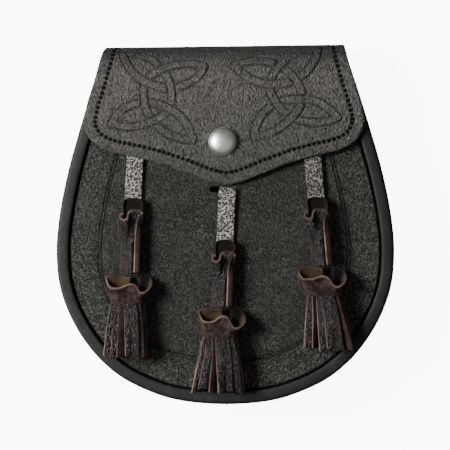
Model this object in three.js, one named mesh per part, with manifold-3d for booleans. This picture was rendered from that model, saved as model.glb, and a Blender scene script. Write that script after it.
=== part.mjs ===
// A day sporran: a black leather pouch with a rolled flap, a domed snap and three leather tassels.
// Millimetres. The pouch lies on its back: +X is to the right seen from the front, +Y is towards the
// pouch's top and +Z comes out of its front. The origin is under the middle of the outline, at z = 0.
import * as THREE from 'three';
import { mergeVertices } from 'three/addons/utils/BufferGeometryUtils.js';
import Module from 'manifold-3d';

const wasm = await Module();
wasm.setup();

// The pouch
const POUCH_WIDTH = 184; // widest, over the bindings
const POUCH_HEIGHT = 195; // bottom of the binding to the top of the rolled flap
const DEPTH_TOP = 23; // over the two bindings, at their top ends
const DEPTH_BOTTOM = 30;
const BODY_DROP = 11; // from the top of the flap's roll down to the top edge of the walls
const FRONT_BULGE = 4;
const BULGE_INSET = 11; // the bulge starts this far inside the outline
const PANEL_THICKNESS = 2.2;
const GUSSET_THICKNESS = 1.4;
const BINDING_THICKNESS = 1.2;
const BINDING_WIDTH = 6.5;
const GUSSET_RECESS = 7.2; // the gusset's wall lies this far inside the outline
const CLEARANCE = 0.3; // between pieces that touch

// The flap
const FLAP_THICKNESS = 2;
const FLAP_DROP = 76.6; // top of the roll to the tip
const FLAP_WIDTH = 153; // at the lower corners
const FLAP_ROLL_RADIUS = 10.5; // outside, at the front
const FLAP_BACK_RADIUS = 9;
const FLAP_LEG_LENGTH = 36; // the part sewn flat on the back
const FLAP_LEG_INSET = 2; // from the binding's inner edge
const FLAP_TIP_OFFSET = 2.4; // the tip hangs a little to the right

// The snap
const CAP_DIAMETER = 15;
const CAP_HEIGHT = 4.4;
const CAP_DROP = 53.5; // top of the roll to the cap's centre
const POST_DIAMETER = 4.4;
const POST_REACH = 1.2; // below the flap
const STUD_DIAMETER = 11;
const STUD_FLOOR = 0.5; // under the socket
const STUD_RIM = 1; // flat rim round the socket
const CAP_EDGE = 0.8; // height of the cap's rolled edge

// The keeper on the back
const LOOP_WIDTH = 50;
const LOOP_LENGTH = 44;
const LOOP_THICKNESS = 1.6;
const LOOP_END = 8; // the sewn stretch at each end
const LOOP_RAMP = 3; // from the sewn stretch down to the free one
const LOOP_GAP = 0.7; // the keeper is pressed flat where the pouch lies on it
const LOOP_DROP = 56; // top of the roll to the keeper's upper end

// The tassels
const STRAP_WIDTH = 9.2;
const STRAP_THICKNESS = 1.8;
const STRAP_TAIL = 9; // inside, above the slit
const SLIT_WIDTH = 15.4;
const SLIT_HEIGHT = 3;
const SLIT_OFFSET = 2.4; // the strap lies towards the right end of its slit
const ROLL_WIDTH = 13.6;
const ROLL_DEPTH = 6.6;
const ROLL_TAPER = 0.7; // width at the lower end, as a share of the upper
const ROLL_LENGTH = 33;
const ROLL_SLANT = 5.5; // the front of the cut top lies this much lower than its back
const ROLL_SLANT_REACH = 0.7; // share of the length over which the slant fades
const ROLL_WALL = 1.3;
const HEAD_WIDTH = 25.4;
const HEAD_DEPTH = 10.6;
const HEAD_HEIGHT = 17;
const HEAD_SLANT = 9.5;
const HEAD_WALL = 1.6;
const HEAD_FOOT = 0.74; // width at the lower edge, as a share of the upper
const HEAD_FOOT_DEPTH = 0.86; // depth there, likewise
const FRINGE_LENGTH = 31;
const FRINGE_BAND = 3; // uncut, above the strips
const FRINGE_FLARE = 1.24; // width at the tips, as a share of the band's
const FRINGE_FLATTEN = 0.72; // depth at the tips, as a share of the band's
const STRIP_COUNT = 13;
const STRIP_GAP = 0.1; // share of a strip's pitch left open
const STRIP_THINNING = 0.1; // the strips are skived thinner than the band

// Half of the outline from the bottom to the top, as shares of the height and of half the width
const OUTLINE = [
  { up: 0, half: 0 },
  { up: 0.011, half: 0.275 },
  { up: 0.034, half: 0.439 },
  { up: 0.079, half: 0.627 },
  { up: 0.147, half: 0.785 },
  { up: 0.237, half: 0.91 },
  { up: 0.327, half: 0.98 },
  { up: 0.417, half: 1 },
  { up: 0.507, half: 0.988 },
  { up: 0.642, half: 0.934 },
  { up: 0.822, half: 0.825 },
  { up: 0.95, half: 0.738 },
  { up: 1, half: 0.702 },
];

// The flap's lower edge: across as a share of half its width, down as a share of its drop
const FLAP_EDGE = [
  { across: 0, down: 1 },
  { across: 0.08, down: 0.98 },
  { across: 0.2, down: 0.935 },
  { across: 0.32, down: 0.888 },
  { across: 0.45, down: 0.842 },
  { across: 0.58, down: 0.805 },
  { across: 0.7, down: 0.777 },
  { across: 0.8, down: 0.755 },
  { across: 0.88, down: 0.722 },
  { across: 0.95, down: 0.668 },
  { across: 0.987, down: 0.6 },
  { across: 1, down: 0.53 },
];

// The flap's half width down its front, as a share of half its width
const FLAP_SIDE = [
  { down: 0, half: 0.858 },
  { down: 0.11, half: 0.884 },
  { down: 0.25, half: 0.922 },
  { down: 0.39, half: 0.968 },
  { down: 0.53, half: 1 },
  { down: 1, half: 1 },
];

// Tassels: slit and head places as shares of half the width and of the height, and the rolled
// piece's length as a share of the usual one
const TASSELS = [
  { name: 'left', slitAcross: -0.52, slitUp: 0.71, headAcross: -0.553, headUp: 0.368, roll: 1.12 },
  { name: 'centre', slitAcross: 0.026, slitUp: 0.597, headAcross: -0.008, headUp: 0.275, roll: 0.985 },
  { name: 'right', slitAcross: 0.522, slitUp: 0.707, headAcross: 0.578, headUp: 0.389, roll: 1 },
];

// Sections of the rolled leather, seen from the tassel's top: across the width, out from the pouch
const ROLL_SECTION = [
  { across: -0.46, out: 0.55 },
  { across: -0.43, out: 0.82 },
  { across: -0.3, out: 0.9 },
  { across: -0.14, out: 0.74 },
  { across: -0.05, out: 0.46 },
  { across: -0.05, out: 0.2 },
  { across: 0.08, out: 0.1 },
  { across: 0.25, out: 0.12 },
  { across: 0.4, out: 0.32 },
  { across: 0.45, out: 0.62 },
  { across: 0.4, out: 0.88 },
];
const HEAD_SECTION = [
  { across: 0.06, out: 0.09 },
  { across: 0.3, out: 0.1 },
  { across: 0.46, out: 0.36 },
  { across: 0.46, out: 0.66 },
  { across: 0.29, out: 0.91 },
  { across: 0.06, out: 0.56 },
  { across: -0.08, out: 0.3 },
  { across: -0.25, out: 0.09 },
  { across: -0.46, out: 0.36 },
  { across: -0.34, out: 0.72 },
  { across: -0.08, out: 0.66 },
];

const PATH_STEPS = 42; // along the sides and bottom
const TOP_STEPS = 10; // along the straight top of a panel
const SCROLL_STEPS = 20; // along a curled section
const STRAP_STEPS = 6; // down the front

const blackLeather = { color: 0x3a3834, roughness: 0.6, metalness: 0 };
const smoothLeather = { color: 0x333333, roughness: 0.5, metalness: 0 };
const strapLeather = { color: 0x5a5653, roughness: 0.5, metalness: 0 };
const brownLeather = { color: 0x352c28, roughness: 0.65, metalness: 0 };
const satinNickel = { color: 0xc9c8c4, roughness: 0.25, metalness: 1 };
const steel = { color: 0x9a9a98, roughness: 0.35, metalness: 1 };

const rollTop = POUCH_HEIGHT / 2;
const bodyTop = rollTop - BODY_DROP;
const bottom = -POUCH_HEIGHT / 2;
const panelBack = FLAP_THICKNESS + CLEARANCE; // the back panel's outer face
const bindingBack = panelBack - CLEARANCE - BINDING_THICKNESS;

function upTo(share) {
  return bottom + share * POUCH_HEIGHT;
}

// The front binding's outer face: the front leans in towards the top
function frontFace(y) {
  const share = (y - bottom) / (bodyTop - bottom);
  return bindingBack + THREE.MathUtils.lerp(DEPTH_BOTTOM, DEPTH_TOP, share);
}

// The whole outline as a fine open line, from the upper left round the bottom to the upper right
function fineOutline() {
  const right = OUTLINE.map(({ up, half }) => new THREE.Vector3((half * POUCH_WIDTH) / 2, upTo(up), 0));
  const left = right.slice(1).reverse().map((p) => new THREE.Vector3(-p.x, p.y, 0));
  return new THREE.CatmullRomCurve3([...left, ...right], false, 'centripetal').getSpacedPoints(400);
}

const outline = fineOutline();

function halfWidthAt(y) {
  const side = outline.filter((p) => p.x >= 0);
  const next = side.findIndex((p) => p.y >= y);
  if (next <= 0) {
    return next === 0 ? 0 : side.at(-1).x;
  }
  const low = side[next - 1];
  const high = side[next];
  return THREE.MathUtils.mapLinear(y, low.y, high.y, low.x, high.x);
}

// How far the front stands out, from nothing along the binding to its most in the middle
function bulge(x, y) {
  const half = halfWidthAt(y) - BULGE_INSET;
  const middle = (bodyTop + bottom) / 2;
  const reach = (bodyTop - bottom) / 2 - BULGE_INSET;
  const across = half > 0 ? 1 - (x / half) ** 2 : 0;
  const along = 1 - ((y - middle) / reach) ** 2;
  return FRONT_BULGE * Math.max(across, 0) * Math.max(along, 0);
}

function panelFront(x, y) {
  return frontFace(y) - BINDING_THICKNESS - CLEARANCE + bulge(x, y);
}

// Stations along the outline up to the walls' top, each with its direction and inward normal
function stations() {
  const inside = outline.filter((p) => p.y <= bodyTop);
  const first = outline.indexOf(inside[0]);
  const last = outline.indexOf(inside.at(-1));
  const cut = (a, b) => a.clone().lerp(b, (bodyTop - a.y) / (b.y - a.y));
  const line = [
    cut(outline[first], outline[first - 1]),
    ...inside,
    cut(outline[last], outline[last + 1]),
  ];
  const path = new THREE.CurvePath();
  for (let i = 1; i < line.length; i++) {
    path.add(new THREE.LineCurve3(line[i - 1], line[i]));
  }
  const points = path.getSpacedPoints(PATH_STEPS);
  return points.map((point, i) => {
    const before = points[Math.max(i - 1, 0)];
    const after = points[Math.min(i + 1, PATH_STEPS)];
    const along = after.clone().sub(before).normalize();
    return { point, along, inward: new THREE.Vector3(-along.y, along.x, 0) };
  });
}

const pathStations = stations();

// A point the given distance inside the outline; the ends slide along to stay level with the top
function insetPoint({ point, along, inward }, inset, atEnd) {
  const moved = point.clone().addScaledVector(inward, inset);
  if (atEnd) {
    moved.addScaledVector(along, (bodyTop - moved.y) / along.y);
  }
  return moved;
}

// A closed geometry from points and triangles, turned so that its faces point out
function bodyFrom(points, faces) {
  const normal = new THREE.Vector3();
  const volume = faces.reduce((sum, [a, b, c]) => {
    return sum + points[a].dot(normal.crossVectors(points[b], points[c]));
  }, 0);
  const geometry = new THREE.BufferGeometry();
  geometry.setAttribute('position', new THREE.Float32BufferAttribute(points.flatMap((p) => p.toArray()), 3));
  geometry.setIndex(faces.flatMap(([a, b, c]) => (volume < 0 ? [a, c, b] : [a, b, c])));
  geometry.computeVertexNormals();
  return geometry;
}

// Rings of equal length joined side to side and closed at both ends; flat is the section's 2D form
function loft(rings, flat) {
  const count = rings[0].length;
  const faces = [];
  for (let ring = 0; ring < rings.length - 1; ring++) {
    for (let i = 0; i < count; i++) {
      const a = ring * count + i;
      const b = ring * count + ((i + 1) % count);
      faces.push([a, b, a + count], [b, b + count, a + count]);
    }
  }
  const lastRing = (rings.length - 1) * count;
  for (const [i, j, k] of THREE.ShapeUtils.triangulateShape(flat, [])) {
    const sameWay = THREE.ShapeUtils.area([flat[i], flat[j], flat[k]]) * THREE.ShapeUtils.area(flat) > 0;
    const [a, b, c] = sameWay ? [i, j, k] : [i, k, j];
    faces.push([a, c, b], [lastRing + a, lastRing + b, lastRing + c]);
  }
  return bodyFrom(rings.flat(), faces);
}

function solidOf(geometry) {
  const bare = geometry.clone();
  bare.deleteAttribute('normal');
  bare.deleteAttribute('uv');
  const merged = mergeVertices(bare, 1e-5);
  return new wasm.Manifold(new wasm.Mesh({
    numProp: 3,
    vertProperties: new Float32Array(merged.attributes.position.array),
    triVerts: new Uint32Array(merged.index.array),
  }));
}

function geometryOf(solid) {
  const mesh = solid.getMesh();
  const geometry = new THREE.BufferGeometry();
  geometry.setAttribute('position', new THREE.BufferAttribute(new Float32Array(mesh.vertProperties), 3));
  geometry.setIndex(new THREE.BufferAttribute(new Uint32Array(mesh.triVerts), 1));
  geometry.computeVertexNormals();
  return geometry;
}

function piece(name, geometry, finish) {
  const mesh = new THREE.Mesh(geometry, new THREE.MeshStandardMaterial(finish));
  mesh.name = name;
  return mesh;
}

// A strip swept round the sides and bottom. A section corner gives its inset from the outline, and
// its height above the back face or, where front is set, below the front face.
function sweepRound(section) {
  const rings = pathStations.map((station, i) => {
    const atEnd = i === 0 || i === PATH_STEPS;
    return section.map(({ inset, rise, front }) => {
      const corner = insetPoint(station, inset, atEnd);
      corner.z = front ? frontFace(corner.y) - rise : bindingBack + rise;
      return corner;
    });
  });
  const flat = section.map(({ inset, rise, front }) => {
    return new THREE.Vector2(inset, front ? DEPTH_BOTTOM - rise : rise);
  });
  return loft(rings, flat);
}

const edgeStack = BINDING_THICKNESS + CLEARANCE + PANEL_THICKNESS + CLEARANCE; // outer face to flange
const bindingHeight = edgeStack + GUSSET_THICKNESS + CLEARANCE + BINDING_THICKNESS;

// The binding: a narrow strip folded over the edge, open inwards
function bindingGeometry(front) {
  const round = BINDING_THICKNESS / 2;
  const slot = BINDING_THICKNESS;
  const section = [
    { inset: round, rise: 0 },
    { inset: BINDING_WIDTH, rise: 0 },
    { inset: BINDING_WIDTH, rise: slot },
    { inset: slot, rise: slot },
    { inset: slot, rise: bindingHeight - slot },
    { inset: BINDING_WIDTH, rise: bindingHeight - slot },
    { inset: BINDING_WIDTH, rise: bindingHeight },
    { inset: round, rise: bindingHeight },
    { inset: 0, rise: bindingHeight - round },
    { inset: 0, rise: round },
  ];
  return sweepRound(section.map((corner) => ({ ...corner, front })));
}

// The gusset: the side wall, with a flange turned out along each edge
function gussetGeometry() {
  const edge = BINDING_THICKNESS + CLEARANCE;
  const innerFace = GUSSET_RECESS + GUSSET_THICKNESS;
  const outerRise = edgeStack + GUSSET_THICKNESS;
  return sweepRound([
    { inset: edge, rise: edgeStack },
    { inset: innerFace, rise: edgeStack },
    { inset: innerFace, rise: edgeStack, front: true },
    { inset: edge, rise: edgeStack, front: true },
    { inset: edge, rise: outerRise, front: true },
    { inset: GUSSET_RECESS, rise: outerRise, front: true },
    { inset: GUSSET_RECESS, rise: outerRise },
    { inset: edge, rise: outerRise },
  ]);
}

// A panel filling the outline inside the binding, with its two faces given as heights over x and y
function panelGeometry(outerFace, innerFace) {
  const edge = BINDING_THICKNESS + CLEARANCE;
  const rim = pathStations.map((station, i) => insetPoint(station, edge, i === 0 || i === PATH_STEPS));
  for (let i = 1; i < TOP_STEPS; i++) {
    rim.push(rim[PATH_STEPS].clone().lerp(rim[0], i / TOP_STEPS));
  }
  const ringShares = [1, 0.9, 0.76, 0.56, 0.3];
  const count = rim.length;
  const middle = new THREE.Vector3(0, (bodyTop + bottom) / 2, 0);
  const points = [];
  const faces = [];
  for (const [side, height] of [outerFace, innerFace].entries()) {
    const start = points.length;
    for (const share of ringShares) {
      for (const p of rim) {
        const q = middle.clone().lerp(p, share);
        points.push(q.setZ(height(q.x, q.y)));
      }
    }
    const centre = points.push(middle.clone().setZ(height(middle.x, middle.y))) - 1;
    const add = (a, b, c) => faces.push(side === 0 ? [a, b, c] : [a, c, b]);
    for (let i = 0; i < count; i++) {
      const next = (i + 1) % count;
      for (let ring = 0; ring < ringShares.length - 1; ring++) {
        const a = start + ring * count;
        add(a + i, a + next, a + count + i);
        add(a + next, a + count + next, a + count + i);
      }
      const last = start + (ringShares.length - 1) * count;
      add(last + i, last + next, centre);
    }
  }
  const half = points.length / 2;
  for (let i = 0; i < count; i++) {
    const next = (i + 1) % count;
    faces.push([i, half + i, next], [next, half + i, half + next]);
  }
  return bodyFrom(points, faces);
}

function tasselPlace({ slitAcross, slitUp, headAcross, headUp }) {
  return {
    slitX: (slitAcross * POUCH_WIDTH) / 2,
    slitY: upTo(slitUp),
    headX: (headAcross * POUCH_WIDTH) / 2,
    headY: upTo(headUp),
  };
}

function frontPanelGeometry() {
  const inner = (x, y) => panelFront(x, y) - PANEL_THICKNESS;
  let panel = solidOf(panelGeometry(panelFront, inner));
  for (const tassel of TASSELS) {
    const { slitX, slitY } = tasselPlace(tassel);
    const slit = new THREE.BoxGeometry(SLIT_WIDTH, SLIT_HEIGHT, 4 * PANEL_THICKNESS);
    slit.translate(slitX - SLIT_OFFSET, slitY + (SLIT_HEIGHT - STRAP_THICKNESS) / 2 - CLEARANCE, 0);
    slit.translate(0, 0, panelFront(slitX, slitY) - PANEL_THICKNESS / 2);
    panel = panel.subtract(solidOf(slit));
  }
  return geometryOf(panel);
}

function backPanelGeometry() {
  return panelGeometry(() => panelBack, () => panelBack + PANEL_THICKNESS);
}

// A value read from a short table, by straight lines between its rows
function readTable(rows, key, value, at) {
  const next = rows.findIndex((row) => row[key] >= at);
  if (next <= 0) {
    return next === 0 ? rows[0][value] : rows.at(-1)[value];
  }
  const [a, b] = [rows[next - 1], rows[next]];
  return THREE.MathUtils.mapLinear(at, a[key], b[key], a[value], b[value]);
}

const flapLift = CLEARANCE + STRAP_THICKNESS + CLEARANCE; // the flap lies on the tassel straps

// The middle of the flap's leather, hanging over the front
function flapSheetHeight(x, y) {
  return panelFront(x, y) + flapLift + FLAP_THICKNESS / 2;
}

// Rows of the flap from the foot of its back leg over the roll to where the front starts to hang
function flapRollRows() {
  const half = FLAP_THICKNESS / 2;
  const backRadius = FLAP_BACK_RADIUS - half;
  const frontRadius = FLAP_ROLL_RADIUS - half;
  const crest = rollTop - half;
  const backY = crest - backRadius;
  const frontY = crest - frontRadius;
  const frontZ = flapSheetHeight(POUCH_WIDTH, frontY);
  const legWidth = halfWidthAt(bodyTop) - BINDING_WIDTH - FLAP_LEG_INSET;
  const topWidth = (readTable(FLAP_SIDE, 'down', 'half', 0) * FLAP_WIDTH) / 2;
  const rows = [0, 0.5, 1].map((share) => ({
    y: THREE.MathUtils.lerp(bodyTop - FLAP_LEG_LENGTH, bodyTop, share),
    z: half,
    out: new THREE.Vector3(0, 0, -1),
    width: legWidth,
  }));
  for (const turn of [0, 0.25, 0.5, 0.75, 1]) {
    const angle = (turn * Math.PI) / 2;
    rows.push({
      y: backY + backRadius * Math.sin(angle),
      z: half + backRadius * (1 - Math.cos(angle)),
      out: new THREE.Vector3(0, Math.sin(angle), -Math.cos(angle)),
      width: THREE.MathUtils.lerp(legWidth, topWidth, turn),
    });
  }
  for (const turn of [0, 0.25, 0.5, 0.75, 1]) {
    const angle = (turn * Math.PI) / 2;
    const y = frontY + frontRadius * Math.cos(angle);
    const down = (rollTop - y) / FLAP_DROP;
    rows.push({
      y,
      z: frontZ - frontRadius * (1 - Math.sin(angle)),
      out: new THREE.Vector3(0, Math.cos(angle), Math.sin(angle)),
      width: (readTable(FLAP_SIDE, 'down', 'half', down) * FLAP_WIDTH) / 2,
    });
  }
  return rows;
}

function flapGeometry() {
  const shares = FLAP_EDGE.map((row) => row.across);
  const columns = [...shares.slice(1).reverse().map((share) => -share), ...shares];
  const rollRows = flapRollRows();
  const hangY = rollRows.at(-1).y;
  const hangRows = [0.15, 0.32, 0.5, 0.68, 0.85, 1];
  const half = FLAP_THICKNESS / 2;
  const outer = [];
  const inner = [];
  const place = (x, y, z, out) => {
    const centre = new THREE.Vector3(x, y, z);
    outer.push(centre.clone().addScaledVector(out, half));
    inner.push(centre.addScaledVector(out, -half));
  };
  for (const { y, z, out, width } of rollRows) {
    for (const across of columns) {
      place(across * width, y, z, out);
    }
  }
  const forwards = new THREE.Vector3(0, 0, 1);
  for (const share of hangRows) {
    for (const across of columns) {
      const edgeY = rollTop - readTable(FLAP_EDGE, 'across', 'down', Math.abs(across)) * FLAP_DROP;
      const y = THREE.MathUtils.lerp(hangY, edgeY, share);
      const width = (readTable(FLAP_SIDE, 'down', 'half', (rollTop - y) / FLAP_DROP) * FLAP_WIDTH) / 2;
      const x = across * width + FLAP_TIP_OFFSET * (1 - Math.abs(across)) * share ** 2;
      place(x, y, flapSheetHeight(x, y), forwards);
    }
  }
  const across = columns.length;
  const rowCount = outer.length / across;
  const points = [...outer, ...inner];
  const faces = [];
  const quad = (a, b, c, d) => faces.push([a, b, c], [a, c, d]);
  for (let row = 0; row < rowCount - 1; row++) {
    for (let i = 0; i < across - 1; i++) {
      const a = row * across + i;
      quad(a, a + 1, a + across + 1, a + across);
      const b = a + outer.length;
      quad(b, b + across, b + across + 1, b + 1);
    }
  }
  const rim = [];
  for (let i = 0; i < across; i++) {
    rim.push(i);
  }
  for (let row = 1; row < rowCount; row++) {
    rim.push(row * across + across - 1);
  }
  for (let i = across - 2; i >= 0; i--) {
    rim.push((rowCount - 1) * across + i);
  }
  for (let row = rowCount - 2; row > 0; row--) {
    rim.push(row * across);
  }
  rim.forEach((a, i) => {
    const b = rim[(i + 1) % rim.length];
    quad(b, a, a + outer.length, b + outer.length);
  });
  const hole = new THREE.CylinderGeometry(
    POST_DIAMETER / 2 + CLEARANCE, POST_DIAMETER / 2 + CLEARANCE, 6 * FLAP_THICKNESS, 16);
  const drilled = solidOf(bodyFrom(points, faces)).subtract(solidOf(setAtSnap(hole, flapLift)));
  return geometryOf(drilled);
}

// A turned shape, whose axis is Y, set on the snap's axis: square to the front, at a height above it
function setAtSnap(geometry, height) {
  const y = rollTop - CAP_DROP;
  const slope = panelFront(0, y + 1) - panelFront(0, y - 1);
  geometry.rotateX(Math.PI / 2);
  geometry.translate(0, 0, height);
  geometry.rotateX(Math.atan(slope / 2));
  geometry.translate(0, y, panelFront(0, y));
  return geometry;
}

// The snap's cap and post, turned round the post, with its foot reaching into the stud's socket
function capGeometry() {
  const radius = CAP_DIAMETER / 2;
  const post = POST_DIAMETER / 2;
  const reach = FLAP_THICKNESS + CLEARANCE + POST_REACH;
  const dome = [1, 0.92, 0.78, 0.58, 0.32, 0].map((share) => {
    const height = CAP_EDGE + (CAP_HEIGHT - CAP_EDGE) * Math.sqrt(1 - share ** 2);
    return new THREE.Vector2(radius * share, height);
  });
  const profile = [
    new THREE.Vector2(0, -reach),
    new THREE.Vector2(post, -reach),
    new THREE.Vector2(post, 0),
    new THREE.Vector2(radius, 0),
    ...dome,
  ];
  return cleaned(setAtSnap(new THREE.LatheGeometry(profile, 20), flapLift + FLAP_THICKNESS + CLEARANCE));
}

function studGeometry() {
  const radius = STUD_DIAMETER / 2;
  const socket = POST_DIAMETER / 2 + CLEARANCE;
  const height = flapLift - 2 * CLEARANCE;
  const profile = [
    new THREE.Vector2(0, 0),
    new THREE.Vector2(radius, 0),
    new THREE.Vector2(radius, height / 2),
    new THREE.Vector2(socket + STUD_RIM, height),
    new THREE.Vector2(socket, height),
    new THREE.Vector2(socket, STUD_FLOOR),
    new THREE.Vector2(0, STUD_FLOOR),
  ];
  return cleaned(setAtSnap(new THREE.LatheGeometry(profile, 16), CLEARANCE));
}

// A lathe's seam and poles are merged and its empty triangles dropped
function cleaned(geometry) {
  return geometryOf(solidOf(geometry));
}

// A flat strip of leather across X that follows a line of y and z, as a mitred ribbon
function ribbonGeometry(line, width, thickness) {
  const across = new THREE.Vector3(width / 2, 0, 0);
  const sides = line.map((point, i) => {
    const before = line[Math.max(i - 1, 0)];
    const after = line[Math.min(i + 1, line.length - 1)];
    const into = point === before ? after.clone().sub(point) : point.clone().sub(before);
    const away = point === after ? into.clone() : after.clone().sub(point);
    into.setX(0).normalize();
    away.setX(0).normalize();
    const bisector = into.clone().add(away).normalize();
    const normal = new THREE.Vector3(0, -bisector.z, bisector.y);
    normal.multiplyScalar(thickness / 2 / bisector.dot(into));
    return [
      point.clone().sub(across).add(normal),
      point.clone().add(across).add(normal),
      point.clone().add(across).sub(normal),
      point.clone().sub(across).sub(normal),
    ];
  });
  const flat = [[-1, 1], [1, 1], [1, -1], [-1, -1]].map(([x, y]) => new THREE.Vector2(x, y));
  return loft(sides, flat);
}

function tasselX({ slitX, slitY, headX, headY }, y) {
  return THREE.MathUtils.mapLinear(y, slitY, headY, slitX, headX);
}

// The strap: a tail inside, through the slit, then down over the front to the tassel's head
function strapGeometry(place) {
  const { slitX, slitY, headY } = place;
  const lift = CLEARANCE + STRAP_THICKNESS / 2;
  const line = [
    new THREE.Vector3(slitX, slitY + STRAP_TAIL, -PANEL_THICKNESS - lift),
    new THREE.Vector3(slitX, slitY, -PANEL_THICKNESS - lift),
    new THREE.Vector3(slitX, slitY, lift),
  ];
  const end = headY + CLEARANCE;
  for (let i = 1; i <= STRAP_STEPS; i++) {
    const y = THREE.MathUtils.lerp(slitY, end, i / STRAP_STEPS);
    line.push(new THREE.Vector3(tasselX(place, y), y, lift));
  }
  return laidOnFront(ribbonGeometry(line, STRAP_WIDTH, STRAP_THICKNESS));
}

// Takes heights over the front panel and sets them on its curved face
function laidOnFront(geometry) {
  const { position } = geometry.attributes;
  for (let i = 0; i < position.count; i++) {
    position.setZ(i, position.getZ(i) + panelFront(position.getX(i), position.getY(i)));
  }
  return geometry;
}

// The closed outline of a curled wall: a smooth line through the section's points, with a thickness
function curledWall(section, width, depth, wall, shares) {
  const curve = new THREE.SplineCurve(section.map(({ across, out }) => {
    return new THREE.Vector2(across * width, out * depth);
  }));
  const side = (offset) => shares.map((share) => {
    const tangent = curve.getTangentAt(share);
    return curve.getPointAt(share).add(new THREE.Vector2(-tangent.y, tangent.x).multiplyScalar(offset));
  });
  return [...side(wall / 2), ...side(-wall / 2).reverse()];
}

const scrollShares = Array.from({ length: SCROLL_STEPS + 1 }, (_, i) => i / SCROLL_STEPS);

// Curled leather running down the pouch. A level gives its y, width and depth, and how far the
// front of that level is cut back.
function scrollGeometry(place, section, wall, lift, levels, shares = scrollShares) {
  const flats = levels.map(({ width, depth }) => curledWall(section, width, depth, wall, shares));
  const rings = levels.map(({ y, depth, slant = 0 }, i) => flats[i].map((corner) => {
    const cornerY = y - (slant * corner.y) / depth;
    return new THREE.Vector3(tasselX(place, y) + corner.x, cornerY, lift + corner.y);
  }));
  return laidOnFront(loft(rings, flats[0]));
}

function rollGeometry(place, { roll }) {
  const lift = CLEARANCE + STRAP_THICKNESS + CLEARANCE;
  const low = place.headY + CLEARANCE;
  const levels = [0, 0.35, 0.7, 1].map((share) => ({
    y: low + roll * ROLL_LENGTH * (1 - share),
    width: ROLL_WIDTH * THREE.MathUtils.lerp(1, ROLL_TAPER, share),
    depth: ROLL_DEPTH,
    slant: ROLL_SLANT * Math.max(1 - share / ROLL_SLANT_REACH, 0),
  }));
  return scrollGeometry(place, ROLL_SECTION, ROLL_WALL, lift, levels);
}

const headLift = BINDING_THICKNESS + 2 * CLEARANCE; // clear of the binding under the outer tassels

function headGeometry(place) {
  const levels = [0, 0.4, 1].map((share) => ({
    y: place.headY - HEAD_HEIGHT * share,
    width: HEAD_WIDTH * THREE.MathUtils.lerp(1, HEAD_FOOT, share),
    depth: HEAD_DEPTH * THREE.MathUtils.lerp(1, HEAD_FOOT_DEPTH, share),
    slant: HEAD_SLANT * Math.max(1 - share, 0),
  }));
  return scrollGeometry(place, HEAD_SECTION, HEAD_WALL, headLift, levels);
}

// The fringe: a short uncut band and the strips cut below it, all of one curled piece
function fringeGeometry(place) {
  const top = place.headY - HEAD_HEIGHT - CLEARANCE;
  const width = HEAD_WIDTH * HEAD_FOOT;
  const depth = HEAD_DEPTH * HEAD_FOOT_DEPTH;
  const bandShares = [];
  for (let i = 0; i < STRIP_COUNT; i++) {
    bandShares.push((i + STRIP_GAP / 2) / STRIP_COUNT, (i + 1 - STRIP_GAP / 2) / STRIP_COUNT);
  }
  const band = [{ y: top, width, depth }, { y: top - FRINGE_BAND, width, depth }];
  let solid = solidOf(scrollGeometry(place, HEAD_SECTION, HEAD_WALL, headLift, band, bandShares));
  for (let i = 0; i < STRIP_COUNT; i++) {
    const shares = [bandShares[2 * i], (i + 0.5) / STRIP_COUNT, bandShares[2 * i + 1]];
    const levels = [0, 0.45, 1].map((share) => ({
      y: top - FRINGE_BAND / 2 - (FRINGE_LENGTH - FRINGE_BAND / 2) * share,
      width: width * THREE.MathUtils.lerp(1, FRINGE_FLARE, share),
      depth: depth * THREE.MathUtils.lerp(1, FRINGE_FLATTEN, share),
    }));
    const wall = HEAD_WALL - STRIP_THINNING;
    solid = solid.add(solidOf(scrollGeometry(place, HEAD_SECTION, wall, headLift, levels, shares)));
  }
  return geometryOf(solid);
}

// The keeper: a strip sewn to the back at both ends, lying nearly flat between them
function loopGeometry() {
  const top = rollTop - LOOP_DROP;
  const low = top - LOOP_LENGTH;
  const half = LOOP_THICKNESS / 2;
  const sewn = panelBack - CLEARANCE - half;
  const free = panelBack - LOOP_GAP - half;
  const line = [
    new THREE.Vector3(0, low, sewn),
    new THREE.Vector3(0, low + LOOP_END, sewn),
    new THREE.Vector3(0, low + LOOP_END + LOOP_RAMP, free),
    new THREE.Vector3(0, top - LOOP_END - LOOP_RAMP, free),
    new THREE.Vector3(0, top - LOOP_END, sewn),
    new THREE.Vector3(0, top, sewn),
  ];
  return ribbonGeometry(line, LOOP_WIDTH, LOOP_THICKNESS);
}

const group = new THREE.Group();
group.add(
  piece('back_panel', backPanelGeometry(), blackLeather),
  piece('gusset', gussetGeometry(), smoothLeather),
  piece('front_panel', frontPanelGeometry(), blackLeather),
  piece('back_binding', bindingGeometry(false), smoothLeather),
  piece('front_binding', bindingGeometry(true), smoothLeather),
  piece('flap', flapGeometry(), blackLeather),
  piece('snap_cap', capGeometry(), satinNickel),
  piece('snap_stud', studGeometry(), steel),
  piece('back_loop', loopGeometry(), smoothLeather),
);
for (const tassel of TASSELS) {
  const place = tasselPlace(tassel);
  group.add(
    piece(`tassel_strap_${tassel.name}`, strapGeometry(place), strapLeather),
    piece(`tassel_roll_${tassel.name}`, rollGeometry(place, tassel), brownLeather),
    piece(`tassel_head_${tassel.name}`, headGeometry(place), brownLeather),
    piece(`tassel_fringe_${tassel.name}`, fringeGeometry(place), brownLeather),
  );
}

export default group;
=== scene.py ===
"""The looks of a day sporran: a black leather pouch with a rolled flap, a snap and three tassels.

Sizes are in millimetres, as on a maker's pattern, and a point is turned into metres as it goes into a
mesh. The pouch lies on its back: +X is to the right seen from its front, +Y towards its top, +Z up.
"""
import math
import random

import bpy
import numpy as np
from mathutils import Matrix, Vector


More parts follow.
